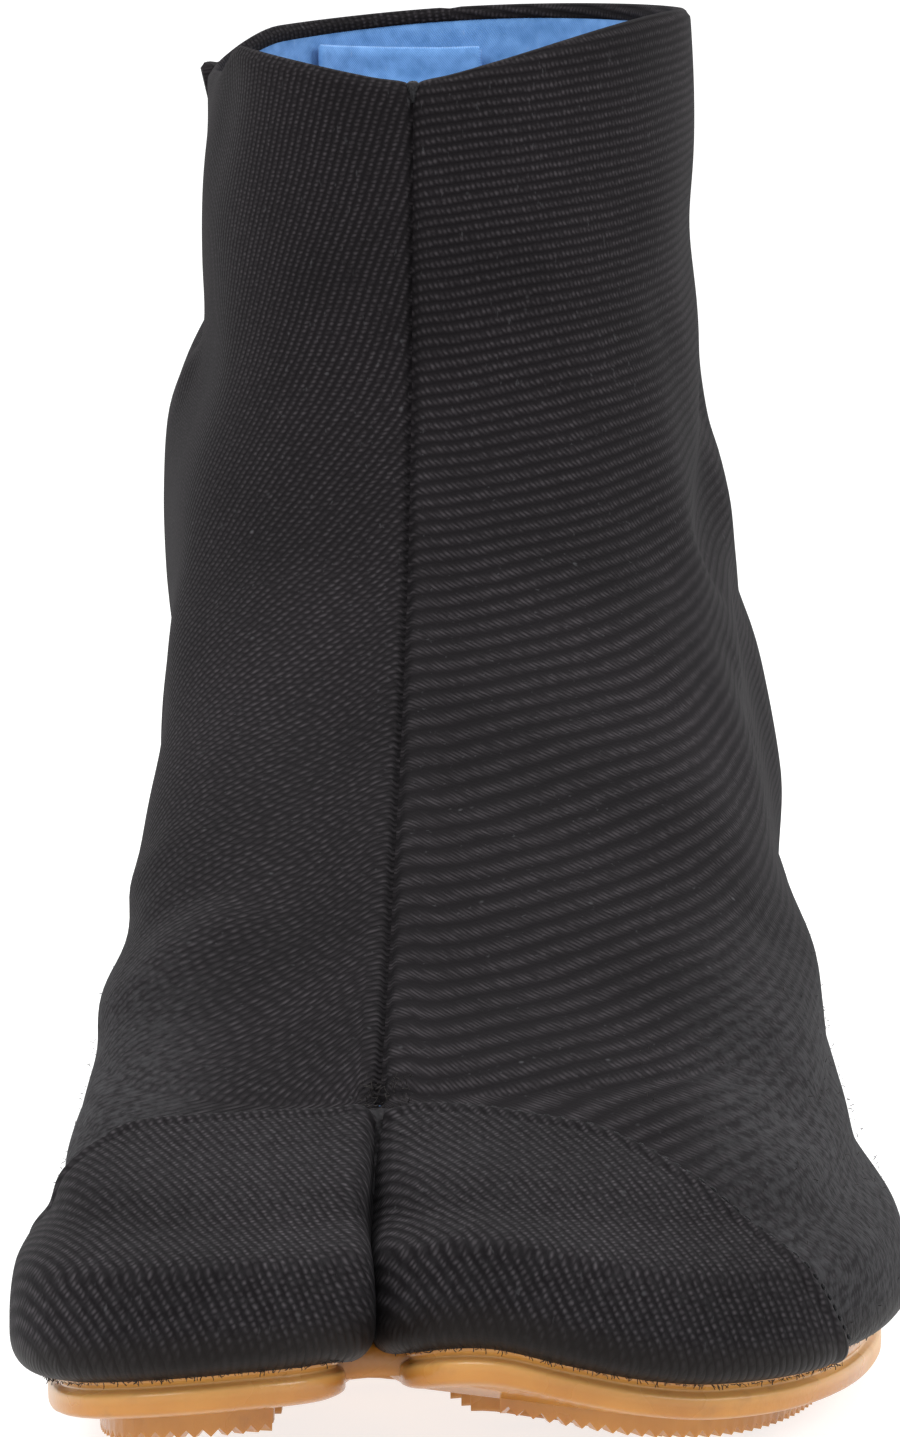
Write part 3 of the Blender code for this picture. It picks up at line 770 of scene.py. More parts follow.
def group_tree(
    name: str, kind: str, inputs: dict[str, tuple[str, Any]], outputs: dict[str, str]
) -> tuple[Board, bpy.types.Node, bpy.types.Node]:
    """A node group with its sockets.

    Args:
        name: Its name.
        kind: The tree's type.
        inputs: Each input's socket type and value.
        outputs: Each output's socket type.

    Returns:
        A board on the tree, its input node and its output node.
    """
    tree = bpy.data.node_groups.new(name, kind)
    for label, (socket, value) in inputs.items():
        made = tree.interface.new_socket(label, in_out="INPUT", socket_type=socket)
        if value is not None:
            made.default_value = value
    for label, socket in outputs.items():
        tree.interface.new_socket(label, in_out="OUTPUT", socket_type=socket)
    board = Board(tree)
    return board, board.add("NodeGroupInput"), board.add("NodeGroupOutput")


def weave_group() -> bpy.types.NodeTree:
    """The twill's relief: slanted wales of short threads.

    Returns:
        A group with the height, the painted highlight on the thread tops and a slow tone.
    """
    board, given, result = group_tree(
        "weave",
        "ShaderNodeTree",
        {
            "Place": ("NodeSocketVector", None),
            "Wale": ("NodeSocketFloat", 1.45 * MM),
            "Thread": ("NodeSocketFloat", 0.82 * MM),
            "Slant": ("NodeSocketFloat", 0.0),
        },
        {"Height": "NodeSocketFloat", "Lit": "NodeSocketFloat", "Tone": "NodeSocketFloat"},
    )
    place = given.outputs["Place"]

    def wander(noise: bpy.types.NodeSocket, span: float) -> bpy.types.NodeSocket:
        """A noise turned into a shift to both sides."""
        return board.sum("MULTIPLY", board.sum("SUBTRACT", noise, 0.5), span)

    def hump(share: bpy.types.NodeSocket) -> bpy.types.NodeSocket:
        """A round hump over each whole step of a value."""
        return board.sum("SINE", board.sum("MULTIPLY", board.sum("FRACT", share), math.pi))

    turned = board.add(
        "ShaderNodeVectorRotate", {"Vector": place, "Angle": given.outputs["Slant"]}, rotation_type="Z_AXIS"
    )
    parts = board.add("ShaderNodeSeparateXYZ", {0: turned.outputs[0]})
    slow = board.noise(place, 45.0)
    jitter = wander(board.noise(place, 900.0, 3.0), 0.40 * MM)
    across = board.sum("ADD", board.sum("ADD", parts.outputs[1], wander(slow, 0.9 * MM)), jitter)
    wales = board.sum("DIVIDE", across, given.outputs["Wale"])
    along = board.sum("DIVIDE", board.sum("ADD", parts.outputs[0], jitter), given.outputs["Thread"])
    numbered = board.sum("FLOOR", wales)
    chance = board.add("ShaderNodeTexWhiteNoise", {"W": numbered}, noise_dimensions="1D").outputs[0]
    bead = board.sum("MULTIPLY_ADD", hump(board.sum("ADD", along, chance)), 0.5, 0.5)
    thread = board.sum("MULTIPLY", hump(wales), bead)
    height = board.sum("MULTIPLY_ADD", board.noise(place, 2600.0), 0.22, thread)
    patchy = board.ramp(board.noise(place, 1500.0, 1.0), 0.34, 0.66, 0.25, 1.0)
    # Painted highlight on the thread tops, in patches.
    lit = board.sum("MULTIPLY", board.sum("POWER", thread, 3.0), patchy)
    board.put(result, {"Height": height, "Lit": lit, "Tone": slow})
    return board.tree


def fluff_group() -> bpy.types.NodeTree:
    """Loose fibres and lint: sparse light specks, and short curled hairs.

    Returns:
        A group with the lint's mask.
    """
    board, given, result = group_tree(
        "lint",
        "ShaderNodeTree",
        {"Place": ("NodeSocketVector", None), "Amount": ("NodeSocketFloat", 0.5)},
        {"Lint": "NodeSocketFloat"},
    )
    place = given.outputs["Place"]
    cells = board.add("ShaderNodeTexVoronoi", {"Vector": place, "Scale": 420.0, "Randomness": 1.0})
    chosen = board.ramp(board.noise(place, 210.0), 0.60, 0.70)
    specks = board.sum("MULTIPLY", board.ramp(cells.outputs["Distance"], 0.16, 0.05), chosen)
    hair = board.noise(board.scaled(place, (1.0, 1.0, 0.33)), 1500.0, 4.0)
    hairs = board.sum("MULTIPLY", board.ramp(hair, 0.66, 0.74), 0.5)
    mask = board.sum("MULTIPLY", board.sum("MAXIMUM", specks, hairs), given.outputs["Amount"])
    board.put(result, {"Lint": mask})
    return board.tree


@dataclass(frozen=True)
class Twill:
    """Black cotton twill with painted highlights on its thread tops, napped and darkened where masks say so.
    """

    name: str
    slant: float
    weave: bpy.types.NodeTree
    lint: bpy.types.NodeTree
    wale: float
    thread: float
    lit: Colour
    dark: Colour = (0.0040, 0.0031, 0.0039)
    nap: Colour = (0.030, 0.0295, 0.0315)
    cement: Colour = (0.0050, 0.0032, 0.0024)
    lint_colour: Colour = (0.075, 0.075, 0.08)
    relief: float = 0.16 * MM

    def make(self) -> bpy.types.Material:
        """The material."""
        made, board, shader, solid = new_finish(self.name)
        place = board.add("ShaderNodeUVMap", uv_map=CLOTH_UV).outputs[0]
        sizes = {"Place": place, "Slant": self.slant, "Wale": self.wale, "Thread": self.thread}
        cloth = board.add("ShaderNodeGroup", node_tree=self.weave)
        board.put(cloth, sizes)
        lint = board.add("ShaderNodeGroup", node_tree=self.lint)
        board.put(lint, {"Place": solid})
        nap, glue = board.mask("nap"), board.mask("cement")
        coarse = board.ramp(board.noise(solid, 900.0, 3.0), 0.40, 0.66)
        napped = board.sum("MULTIPLY", nap, board.sum("MULTIPLY_ADD", coarse, 0.8, 0.2))
        # Painted highlight: the thread tops are mixed towards the lit colour, and the grooves between wales
        # stay dark.
        colour = board.mix(napped, board.mix(cloth.outputs["Lit"], self.dark, self.lit), self.nap)
        tone = board.ramp(cloth.outputs["Tone"], 0.3, 0.7, 0.8, 1.25)
        colour = board.add("ShaderNodeVectorMath", {0: colour, "Scale": tone}, operation="SCALE").outputs[0]
        colour = board.mix(glue, board.mix(lint.outputs["Lint"], colour, self.lint_colour), self.cement)
        flat = board.sum("MULTIPLY", cloth.outputs["Height"], board.sum("MULTIPLY_ADD", nap, -0.6, 1.0))
        height = board.sum("MULTIPLY_ADD", board.sum("MULTIPLY", coarse, nap), 0.8, flat)
        board.put(shader, {
            "Base Color": colour,
            "Roughness": board.sum("MULTIPLY_ADD", glue, -0.38, 0.88),
            "Normal": board.bump(height, self.relief, 0.6),
            "Sheen Weight": 0.012,
            "Sheen Roughness": 0.4,
            "Sheen Tint": (0.72, 0.72, 0.78, 1.0),
            "Specular IOR Level": 0.12,
        })
        return made


@dataclass(frozen=True)
class PlainCloth:
    """A plain-woven cotton, such as the blue lining."""

    name: str
    colour: Colour
    shade: Colour
    lint: bpy.types.NodeTree
    thread: float = 0.42 * MM
    lint_amount: float = 0.35
    lint_colour: Colour = (0.45, 0.5, 0.56)
    relief: float = 0.12 * MM

    def make(self) -> bpy.types.Material:
        """The material."""
        made, board, shader, solid = new_finish(self.name)
        place = board.add("ShaderNodeUVMap", uv_map=CLOTH_UV).outputs[0]
        parts = board.add("ShaderNodeSeparateXYZ", {0: place})
        turns = 2 * math.pi / self.thread
        waves = [board.sum("SINE", board.sum("MULTIPLY", parts.outputs[i], turns)) for i in (0, 1)]
        grid = board.sum("MULTIPLY", *waves)
        slubs = board.noise(solid, 420.0, 3.0)
        lint = board.add("ShaderNodeGroup", node_tree=self.lint)
        board.put(lint, {"Place": solid, "Amount": self.lint_amount})
        tone = board.ramp(board.sum("MULTIPLY_ADD", grid, 0.16, slubs), 0.25, 0.75)
        colour = board.mix(lint.outputs["Lint"], board.mix(tone, self.shade, self.colour), self.lint_colour)
        board.put(shader, {
            "Base Color": colour,
            "Roughness": board.ramp(slubs, 0.2, 0.8, 0.95, 0.78),
            "Normal": board.bump(board.sum("MULTIPLY_ADD", grid, 0.35, slubs), self.relief, 0.5),
            "Sheen Weight": 0.2,
        })
        return made


@dataclass(frozen=True)
class GumRubber:
    """Amber gum rubber: satin, a little see-through, with painted highlight bands along the side's groove and
    top lip.
    """

    name: str = "gum rubber"
    deep: Colour = (0.36, 0.135, 0.016)
    amber: Colour = (0.52, 0.235, 0.040)
    # The colour of the painted highlight bands on the sole's side.
    painted_highlight: Colour = (0.74, 0.46, 0.18)
    dirt: Colour = (0.22, 0.10, 0.035)
    grain: float = 0.10 * MM
    scatter: tuple[float, float, float] = (3.0 * MM, 1.3 * MM, 0.4 * MM)

    def make(self) -> bpy.types.Material:
        """The material."""
        made, board, shader, solid = new_finish(self.name)
        clouds = board.noise(solid, 55.0, 4.0)
        colour = board.mix(board.ramp(clouds, 0.3, 0.7), self.deep, self.amber)
        # Painted highlight: the rubber is mixed towards a pale amber along the groove and the top lip of the
        # sole's side.
        colour = board.mix(board.sum("MULTIPLY", board.mask("painted_highlight"), 0.55), colour, self.painted_highlight)
        dirty = board.ramp(board.noise(solid, 260.0, 5.0), 0.58, 0.74, 0.0, 0.35)
        board.put(shader, {
            "Base Color": board.mix(dirty, colour, self.dirt),
            "Roughness": board.ramp(clouds, 0.3, 0.75, 0.22, 0.38),
            "Normal": board.bump(board.noise(solid, 1900.0, 3.0), self.grain, 0.35),
            "Subsurface Weight": 0.18,
            "Subsurface Radius": self.scatter,
            "Subsurface Scale": 1.0,
            "Specular IOR Level": 0.5,
        })
        return made


@dataclass(frozen=True)
class Thread:
    """Twisted thread, read on the piece's own coordinates."""

    name: str
    dark: Colour
    light: Colour
    twist: float = 0.06 * MM

    def make(self) -> bpy.types.Material:
        """The material."""
        made, board, shader, solid = new_finish(self.name)
        fibres = board.noise(solid, 3200.0, 3.0)
        board.put(shader, {
            "Base Color": board.mix(board.ramp(fibres, 0.35, 0.7), self.dark, self.light),
            "Roughness": board.ramp(fibres, 0.2, 0.8, 0.85, 0.6),
            "Normal": board.bump(fibres, self.twist, 0.6),
            "Sheen Weight": 0.02,
            "Specular IOR Level": 0.15,
        })
        return made


@dataclass(frozen=True)
class ClaspMetal:
    """Pressed brass with fine scratches and dulled patches."""

    name: str = "clasp brass"
    bright: Colour = (0.78, 0.60, 0.30)
    dull: Colour = (0.46, 0.32, 0.14)
    stretch: tuple[float, float, float] = (1.0, 1.0, 14.0)
    scratch: float = 0.03 * MM

    def make(self) -> bpy.types.Material:
        """The material."""
        made, board, shader, solid = new_finish(self.name)
        scratches = board.noise(board.scaled(solid, self.stretch), 700.0, 3.0)
        tarnish = board.ramp(board.noise(solid, 300.0, 4.0), 0.4, 0.7)
        board.put(shader, {
            "Base Color": board.mix(tarnish, self.bright, self.dull),
            "Roughness": board.ramp(scratches, 0.3, 0.7, 0.22, 0.42),
            "Normal": board.bump(scratches, self.scratch, 0.2),
            "Metallic": 1.0,
        })
        return made


@dataclass
class Finishes:
    """Every material of the shoe, made once."""

    lateral: bpy.types.Material = field(init=False)
    medial: bpy.types.Material = field(init=False)
    cap: bpy.types.Material = field(init=False)
    lining: bpy.types.Material = field(init=False)
    insole: bpy.types.Material = field(init=False)
    rubber: bpy.types.Material = field(init=False)
    thread: bpy.types.Material = field(init=False)
    fuzz: bpy.types.Material = field(init=False)
    metal: bpy.types.Material = field(init=False)
    # Painted highlight colours of the thread tops: quieter on the panels, livelier on the caps.
    quiet_highlight: Colour = (0.033, 0.029, 0.032)
    lively_highlight: Colour = (0.050, 0.0445, 0.049)

    def __post_init__(self) -> None:
        """Makes the shared groups and the materials."""
        weave, lint = weave_group(), fluff_group()
        twills = {
            "lateral": (-9.0, 1.3 * MM, 0.7 * MM, self.quiet_highlight),
            "medial": (84.0, 1.15 * MM, 0.6 * MM, self.quiet_highlight),
            "cap": (57.0, 0.9 * MM, 0.5 * MM, self.lively_highlight),
        }
        for name, (slant, wale, thread, lit) in twills.items():
            finish = Twill(f"black twill, {name}", math.radians(slant), weave, lint, wale, thread, lit)
            setattr(self, name, finish.make())
        self.lining = PlainCloth("blue lining", (0.145, 0.330, 0.66), (0.070, 0.200, 0.45), lint).make()
        coarse = PlainCloth("insole cloth", (0.16, 0.33, 0.56), (0.10, 0.24, 0.44), lint, 0.8 * MM, 0.7)
        self.insole = coarse.make()
        self.rubber = GumRubber().make()
        self.thread = Thread("black thread", (0.006, 0.006, 0.0065), (0.028, 0.028, 0.031)).make()
        self.fuzz = Thread("loose fibres", (0.008, 0.0065, 0.006), (0.045, 0.040, 0.038)).make()
        self.metal = ClaspMetal().make()


class Repeats:
    """Geometry Nodes trees for what repeats along a line or over a surface."""

    def __init__(self) -> None:
        """Builds the trees."""
        self.stitches = self.stitch_tree()
        self.fibres = self.fibre_tree()

    @staticmethod
    def place(board: Board, result: bpy.types.Node, finish: Any, spots: dict[str, Any]) -> bpy.types.NodeTree:
        """Ends a tree: instances on points, made real and given their material.

        Args:
            board: The tree's board.
            result: Its output node.
            finish: The material's socket.
            spots: The points, and what stands on them, how turned and how large.

        Returns:
            The tree.
        """
        placed = board.add("GeometryNodeInstanceOnPoints", spots)
        real = board.add("GeometryNodeRealizeInstances", {0: placed.outputs[0]})
        finished = board.add("GeometryNodeSetMaterial", {0: real.outputs[0], "Material": finish})
        board.put(result, {0: finished.outputs[0]})
        return board.tree

    @staticmethod
    def turned(board: Board, rotation: Any, angles: Any) -> Any:
        """A rotation turned further, about its own axes."""
        nudge = board.add("FunctionNodeEulerToRotation", {0: angles})
        both = {0: rotation, 1: nudge.outputs[0]}
        return board.add("FunctionNodeRotateRotation", both, rotation_space="LOCAL").outputs[0]

    def stitch_tree(self) -> bpy.types.NodeTree:
        """Beads of thread along a line of edges.

        Returns:
            The tree.
        """
        board, given, result = group_tree(
            "stitches",
            "GeometryNodeTree",
            {
                "Line": ("NodeSocketGeometry", None),
                "Pitch": ("NodeSocketFloat", 2.4 * MM),
                "Length": ("NodeSocketFloat", 1.8 * MM),
                "Thickness": ("NodeSocketFloat", 0.5 * MM),
                "Drop": ("NodeSocketFloat", 1.0),
                "Seed": ("NodeSocketInt", SEED),
                "Finish": ("NodeSocketMaterial", None),
            },
            {"Pieces": "NodeSocketGeometry"},
        )
        wants = given.outputs
        curve = board.add("GeometryNodeMeshToCurve", {0: wants["Line"]})
        spaced = {0: curve.outputs[0], "Length": wants["Pitch"]}
        even = board.add("GeometryNodeResampleCurve", spaced, mode="LENGTH")
        bead = board.add("GeometryNodeMeshUVSphere", {"Segments": 8, "Rings": 6, "Radius": 0.5})
        tangent = board.add("GeometryNodeInputTangent")
        turn = board.add("FunctionNodeAlignRotationToVector", {"Vector": tangent.outputs[0]}, axis="X")
        spread = {0: (-0.10, -0.10, -0.10), 1: (0.10, 0.10, 0.10), "Seed": wants["Seed"]}
        wander = board.add("FunctionNodeRandomValue", spread, data_type="FLOAT_VECTOR")
        height = board.sum("MULTIPLY", wants["Thickness"], wants["Drop"])
        size = board.add("ShaderNodeCombineXYZ", {0: wants["Length"], 1: wants["Thickness"], 2: height})
        return self.place(board, result, wants["Finish"], {
            "Points": even.outputs[0],
            "Instance": bead.outputs[0],
            "Rotation": self.turned(board, turn.outputs[0], wander.outputs[0]),
            "Scale": size.outputs[0],
        })

    def fibre_tree(self) -> bpy.types.NodeTree:
        """Short curled fibres that stand on a surface.

        Returns:
            The tree.
        """
        board, given, result = group_tree(
            "fibres",
            "GeometryNodeTree",
            {
                "Cloth": ("NodeSocketGeometry", None),
                "Density": ("NodeSocketFloat", 200000.0),
                "Length": ("NodeSocketFloat", 1.0 * MM),
                "Thickness": ("NodeSocketFloat", 0.05 * MM),
                "Lean": ("NodeSocketFloat", 1.0),
                "Seed": ("NodeSocketInt", SEED),
                "Finish": ("NodeSocketMaterial", None),
            },
            {"Pieces": "NodeSocketGeometry"},
        )
        wants = given.outputs
        points = board.add("GeometryNodeDistributePointsOnFaces", {
            "Mesh": wants["Cloth"], "Density": wants["Density"], "Seed": wants["Seed"],
        })
        bend = board.add("GeometryNodeCurveQuadraticBezier", {
            "Resolution": 3, "Start": (0.0, 0.0, 0.0), "Middle": (0.05, 0.0, 0.6), "End": (0.45, 0.1, 0.9),
        })
        section = board.add("GeometryNodeCurvePrimitiveCircle", {"Resolution": 3})
        thin = board.sum("DIVIDE", wants["Thickness"], wants["Length"])
        scale = board.add("ShaderNodeCombineXYZ", {0: thin, 1: thin, 2: thin})
        sized = board.add("GeometryNodeTransform", {0: section.outputs[0], "Scale": scale.outputs[0]})
        parts = {0: bend.outputs[0], 1: sized.outputs[0], "Fill Caps": True}
        hair = board.add("GeometryNodeCurveToMesh", parts)
        spread = {0: (-1.0, -1.0, -3.14), 1: (1.0, 1.0, 3.14), "Seed": wants["Seed"]}
        wander = board.add("FunctionNodeRandomValue", spread, data_type="FLOAT_VECTOR")
        lean = board.add("ShaderNodeCombineXYZ", {0: wants["Lean"], 1: wants["Lean"], 2: 1.0})
        leaning = board.scaled(wander.outputs[0], lean.outputs[0])
        share = {2: 0.4, 3: 1.2, "Seed": wants["Seed"]}
        longer = board.add("FunctionNodeRandomValue", share, data_type="FLOAT")
        return self.place(board, result, wants["Finish"], {
            "Points": points.outputs[0],
            "Instance": hair.outputs[0],
            "Rotation": self.turned(board, points.outputs["Rotation"], leaning),
            "Scale": board.sum("MULTIPLY", longer.outputs[1], wants["Length"]),
        })

    def run(
        self, tree: bpy.types.NodeTree, name: str, source: bpy.types.Mesh, **values: Any
    ) -> bpy.types.Object:
        """Runs a tree on a source mesh and keeps the result as a plain mesh.

        Args:
            tree: The tree.
            name: The piece's name.
            source: What the tree works on.
            values: Its inputs by name.

        Returns:
            The finished object.
        """
        piece = bpy.data.objects.new(name, source)
        bpy.context.scene.collection.objects.link(piece)
        modifier = piece.modifiers.new("repeats", "NODES")
        modifier.node_group = tree
        for item in tree.interface.items_tree:
            if item.item_type == "SOCKET" and item.in_out == "INPUT" and item.name in values:
                modifier[item.identifier] = values[item.name]
        seen = piece.evaluated_get(bpy.context.evaluated_depsgraph_get())
        mesh = bpy.data.meshes.new_from_object(seen)
        piece.modifiers.remove(modifier)
        piece.data = mesh
        return piece

    def stitch_row(self, name: str, line: Array, finish: bpy.types.Material, **values: Any) -> None:
        """A finished row of stitches.

        Args:
            name: The piece's name.
            line: The points that it runs along.
            finish: Its material.
            values: The tree's other inputs by name.
        """
        mesh = bpy.data.meshes.new(name + " line")
        mesh.from_pydata(line.tolist(), [(i, i + 1) for i in range(len(line) - 1)], [])
        hand_over(self.run(self.stitches, name, mesh, Finish=finish, **values), Slot.THREAD)


# The shoe's sub-assemblies


def arcs(points: Array, axis: int) -> Array:
    """The length gone along one axis of a grid of points.

    Args:
        points: The grid.
        axis: The axis that the length is measured along.

    Returns:
        Lengths from 0 at the axis's start.
    """
    steps = np.linalg.norm(np.diff(points, axis=axis), axis=-1)
    start = np.zeros_like(np.take(steps, [0], axis=axis))
    return np.concatenate([start, np.cumsum(steps, axis=axis)], axis=axis)


@dataclass
class Upper:
    """The two cloth panels that meet in the front seam, with their wear."""

    finishes: Finishes
    cloth: float = 1.1 * MM
    fold: float = 0.115
    fold_depth: float = 2.0 * MM
    rolled: float = 0.55 * MM
    fineness: int = 12
    cleft_top: float = 7.0
    lateral_slope: float = 0.14
    lateral_reach: float = 60 * MM
    medial_slope: float = 0.3
    medial_reach: float = 40 * MM
    ridge: float = 0.35 * MM
    groove: float = 0.95 * MM
    back_groove: float = 0.5 * MM

    def grid(self, start: float, end: float) -> tuple[Array, Array]:
        """Places on the surface, rows going up by columns going round, and close rows in the fold."""
        us = np.linspace(start, end, int(round((end - start) * self.fineness)) + 1)
        ts = np.linspace(0.0, COLLAR, int(round(COLLAR * self.fineness)) + 1)
        close = COLLAR - self.fold * np.array((1.3, 1.0, 0.85, 0.6, 0.35, 0.15, 0.05, 0.0))
        return np.meshgrid(us, np.concatenate([ts[:-2], close]))

    def flatten(self, points: Array, lateral: bool) -> Array:
        """The place of each point on the flat panel, as the panel looks from the shoe's side.

        Args:
            points: The panel's grid.
            lateral: Whether the front seam is the grid's last column, not its first.

        Returns:
            Places on the cloth, in metres.
        """
        if lateral:
            points = points[:, ::-1]
        gone = arcs(points[..., :2], 1)
        split = int(self.cleft_top * self.fineness)
        side = 6 * self.fineness
        along = points[:, :1, 1] + gone
        level = along[split, side] - points[split, side, 1]
        low = points[:split, side, 1][:, None] + level + gone[:split] - gone[:split, side][:, None]
        along = np.concatenate([low, along[split:]])
        beside = np.maximum(np.arange(points.shape[1]), int(1.5 * self.fineness))
        inwards = np.linalg.norm(points[..., :2] - points[:1, beside, :2], axis=-1)
        vamp = 1 - smooth(30 * MM, 135 * MM, points[..., 2])
        slope, reach = self.medial_slope, self.medial_reach
        if lateral:
            slope, reach = self.lateral_slope, self.lateral_reach
        slant = slope * reach * np.tanh(inwards / reach) * vamp
        if lateral:
            return np.stack((along, points[..., 2] + slant), axis=-1)[:, ::-1]
        return np.stack((along + slant, points[..., 2]), axis=-1)

    def masks(self, points: Array, lateral: bool) -> dict[str, Array]:
        """Where the cloth is napped and where the sole's cement darkens it.

        Args:
            points: The panel's grid.
            lateral: Whether it is the outer panel.

        Returns:
            The masks by name.
        """
        x, y, z = (points[..., i] for i in range(3))
        low = 1 - smooth(30 * MM, 60 * MM, z)
        out = smooth(22 * MM, 36 * MM, x if lateral else -x)
        nap = low * out * (1 - 0.7 * smooth(-130 * MM, -70 * MM, y))
        return {"nap": nap, "cement": cement(points, 6.0 * MM)}

    def seam_roll(self, us: Array, points: Array) -> Array:
        """The outset beside the seams: a groove at each, and a soft ridge beside the front one.

        Args:
            us: Places round the outline.
            points: The panel's grid.

        Returns:
            An outset for each point.
        """
        ts = np.linspace(self.cleft_top, COLLAR, 170)
        away = distance_to_line(points, LAST.point(np.zeros(170), ts))
        front = self.ridge * bell(away, 2.0 * MM, 2.2 * MM) - self.groove * bell(away, 0.0, 0.65 * MM)
        near = np.minimum(us % STATIONS, STATIONS - us % STATIONS) < 6
        back = distance_to_line(points, LAST.point(np.full(40, BACK_SEAM), np.linspace(0.5, COLLAR, 40)))
        return front * near - self.back_groove * bell(back, 0.0, 0.7 * MM)

    def panel(self, name: str, lateral: bool, nodes: tuple[str, ...] = ()) -> None:
        """One panel, from the front seam to the back seam.

        Args:
            name: The piece's name.
            lateral: Whether it is the outer panel.
            nodes: CAD nodes that it stands for.
        """
        us, ts = self.grid(BACK_SEAM, STATIONS) if lateral else self.grid(0.0, BACK_SEAM)
        base = LAST.point(us, ts)
        roll = self.seam_roll(us, base)
        rounded = self.rolled * smooth(COLLAR - 0.05, COLLAR, ts)
        outer = LAST.cloth(us, ts, roll - rounded)
        folded = smooth(COLLAR - self.fold * 1.25, COLLAR - self.fold, ts)
        depth = self.cloth + (self.fold_depth - self.cloth) * folded - rounded
        inner = LAST.cloth(us, ts, np.minimum(roll, 0.0) * 0.2 * (1 - folded) - depth)
        finish = self.finishes.lateral if lateral else self.finishes.medial
        flat = self.flatten(base, lateral)
        piece = shell(name, outer, inner, flat, finish, masks=self.masks(base, lateral))
        hand_over(piece, Slot.TWILL, *nodes)

    def seam_end(self) -> None:
        """The raised end of the front seam in the collar's dip."""
        count = 14
        line = LAST.cloth(np.zeros(count), np.linspace(COLLAR - 0.10, COLLAR, count), -0.9 * MM)
        line[:, 2] += np.linspace(0.0, 0.7 * MM, count)
        radius = np.interp(np.linspace(0, 1, count), (0, 0.4, 0.85, 1.0), (0.3, 0.7, 1.05, 0.55)) * MM
        hand_over(tube("seam_end", line, radius, 12, self.finishes.thread), Slot.THREAD)

    def build(self) -> None:
        """Both panels and the seam's end."""
        self.panel("lateral_panel", True, ("upper",))
        self.panel("medial_panel", False)
        self.seam_end()


def cement(points: Array, reach: float) -> Array:
    """How much of the sole's cement has soaked into the cloth.

    Args:
        points: Points of the cloth.
        reach: How far above the feather line it ends.

    Returns:
        A share for each point.
    """
    over = points[..., 2] - LAST.feather - LAST.rise(points[..., 0], points[..., 1])
    return 0.85 * (1 - smooth(1.5 * MM, reach, over))


@dataclass
class ToeCap:
    """A cap sewn over one lobe, with a turned-in edge and a sewn groove behind it."""

    finishes: Finishes
    repeats: Repeats
    name: str
    node: str
    seam: tuple[tuple[float, float], ...]
    foot: float = 0.2
    ease: float = 0.45 * MM
    edge_ease: float = 0.22 * MM
    cloth: float = 0.8 * MM
    squeeze: float = 0.75 * MM
    roll: float = 0.20 * MM
    groove: float = 0.16 * MM
    seam_ease: float = 0.05
    seam_foot: float = 1.6
    pitch: float = 1.6 * MM
    columns: int = 130
    rows: int = 110

    def edge(self, u: Array) -> Array:
        """How many rings up the cap reaches."""
        rings = hermite([row[0] for row in self.seam], [row[1] for row in self.seam], u)
        return np.maximum(rings, self.foot)

    def lift(self, base: Array, away: Array) -> Array:
        """How far the cap stands off the upper.

        Args:
            base: The cap's grid on the upper.
            away: The distance of each point from the cap's seam.

        Returns:
            An outset for each point.
        """
        turned_in = 1 - bell(away, 0.0, 0.6 * MM) * 0.9
        edge = self.roll * bell(away, 1.0 * MM, 0.9 * MM) - self.groove * bell(away, 2.3 * MM, 0.5 * MM)
        beside = np.exp(-(((base[..., 0] - LAST.cleft_x) / (3.6 * MM)) ** 4))
        return self.ease + self.cloth * turned_in + edge + self.squeeze * beside

    def build(self) -> None:
        """The cap and its stitches."""
        start, end = self.seam[0][0], self.seam[-1][0]
        us = np.linspace(start, end, self.columns)
        u, share = np.meshgrid(us, 1 - (1 - np.linspace(0.0, 1.0, self.rows)) ** 1.5)
        t = self.foot + (self.edge(us)[None, :] - self.foot) * share
        base = LAST.point(u, t)
        lift = self.lift(base, distance_to_line(base, LAST.point(us, self.edge(us))))
        tail = smooth(0.0, self.seam_foot, self.edge(us) - self.foot)[None, :]
        outer = LAST.cloth(u, t, self.edge_ease + (lift - self.edge_ease) * tail)
        inner = LAST.cloth(u, t, np.full_like(lift, 0.05 * MM))
        flat = np.stack((base[..., 0], 0.75 * base[..., 2] + 0.65 * base[..., 1]), axis=-1)
        masks = {"nap": np.full_like(lift, 0.2), "cement": cement(base, 5.0 * MM)}
        piece = shell(self.name, outer, inner, flat, self.finishes.cap, masks=masks)
        hand_over(piece, Slot.TWILL, self.node)
        along = np.linspace(start, end, 160)
        along = along[self.edge(along) > self.seam_foot]
        sewn = LAST.cloth(along, self.edge(along) - self.seam_ease, 1.0 * MM)
        sizes = {"Pitch": self.pitch, "Length": 1.0 * MM, "Thickness": 0.42 * MM}
        self.repeats.stitch_row(f"{self.name}_stitches", sewn, self.finishes.thread, **sizes)


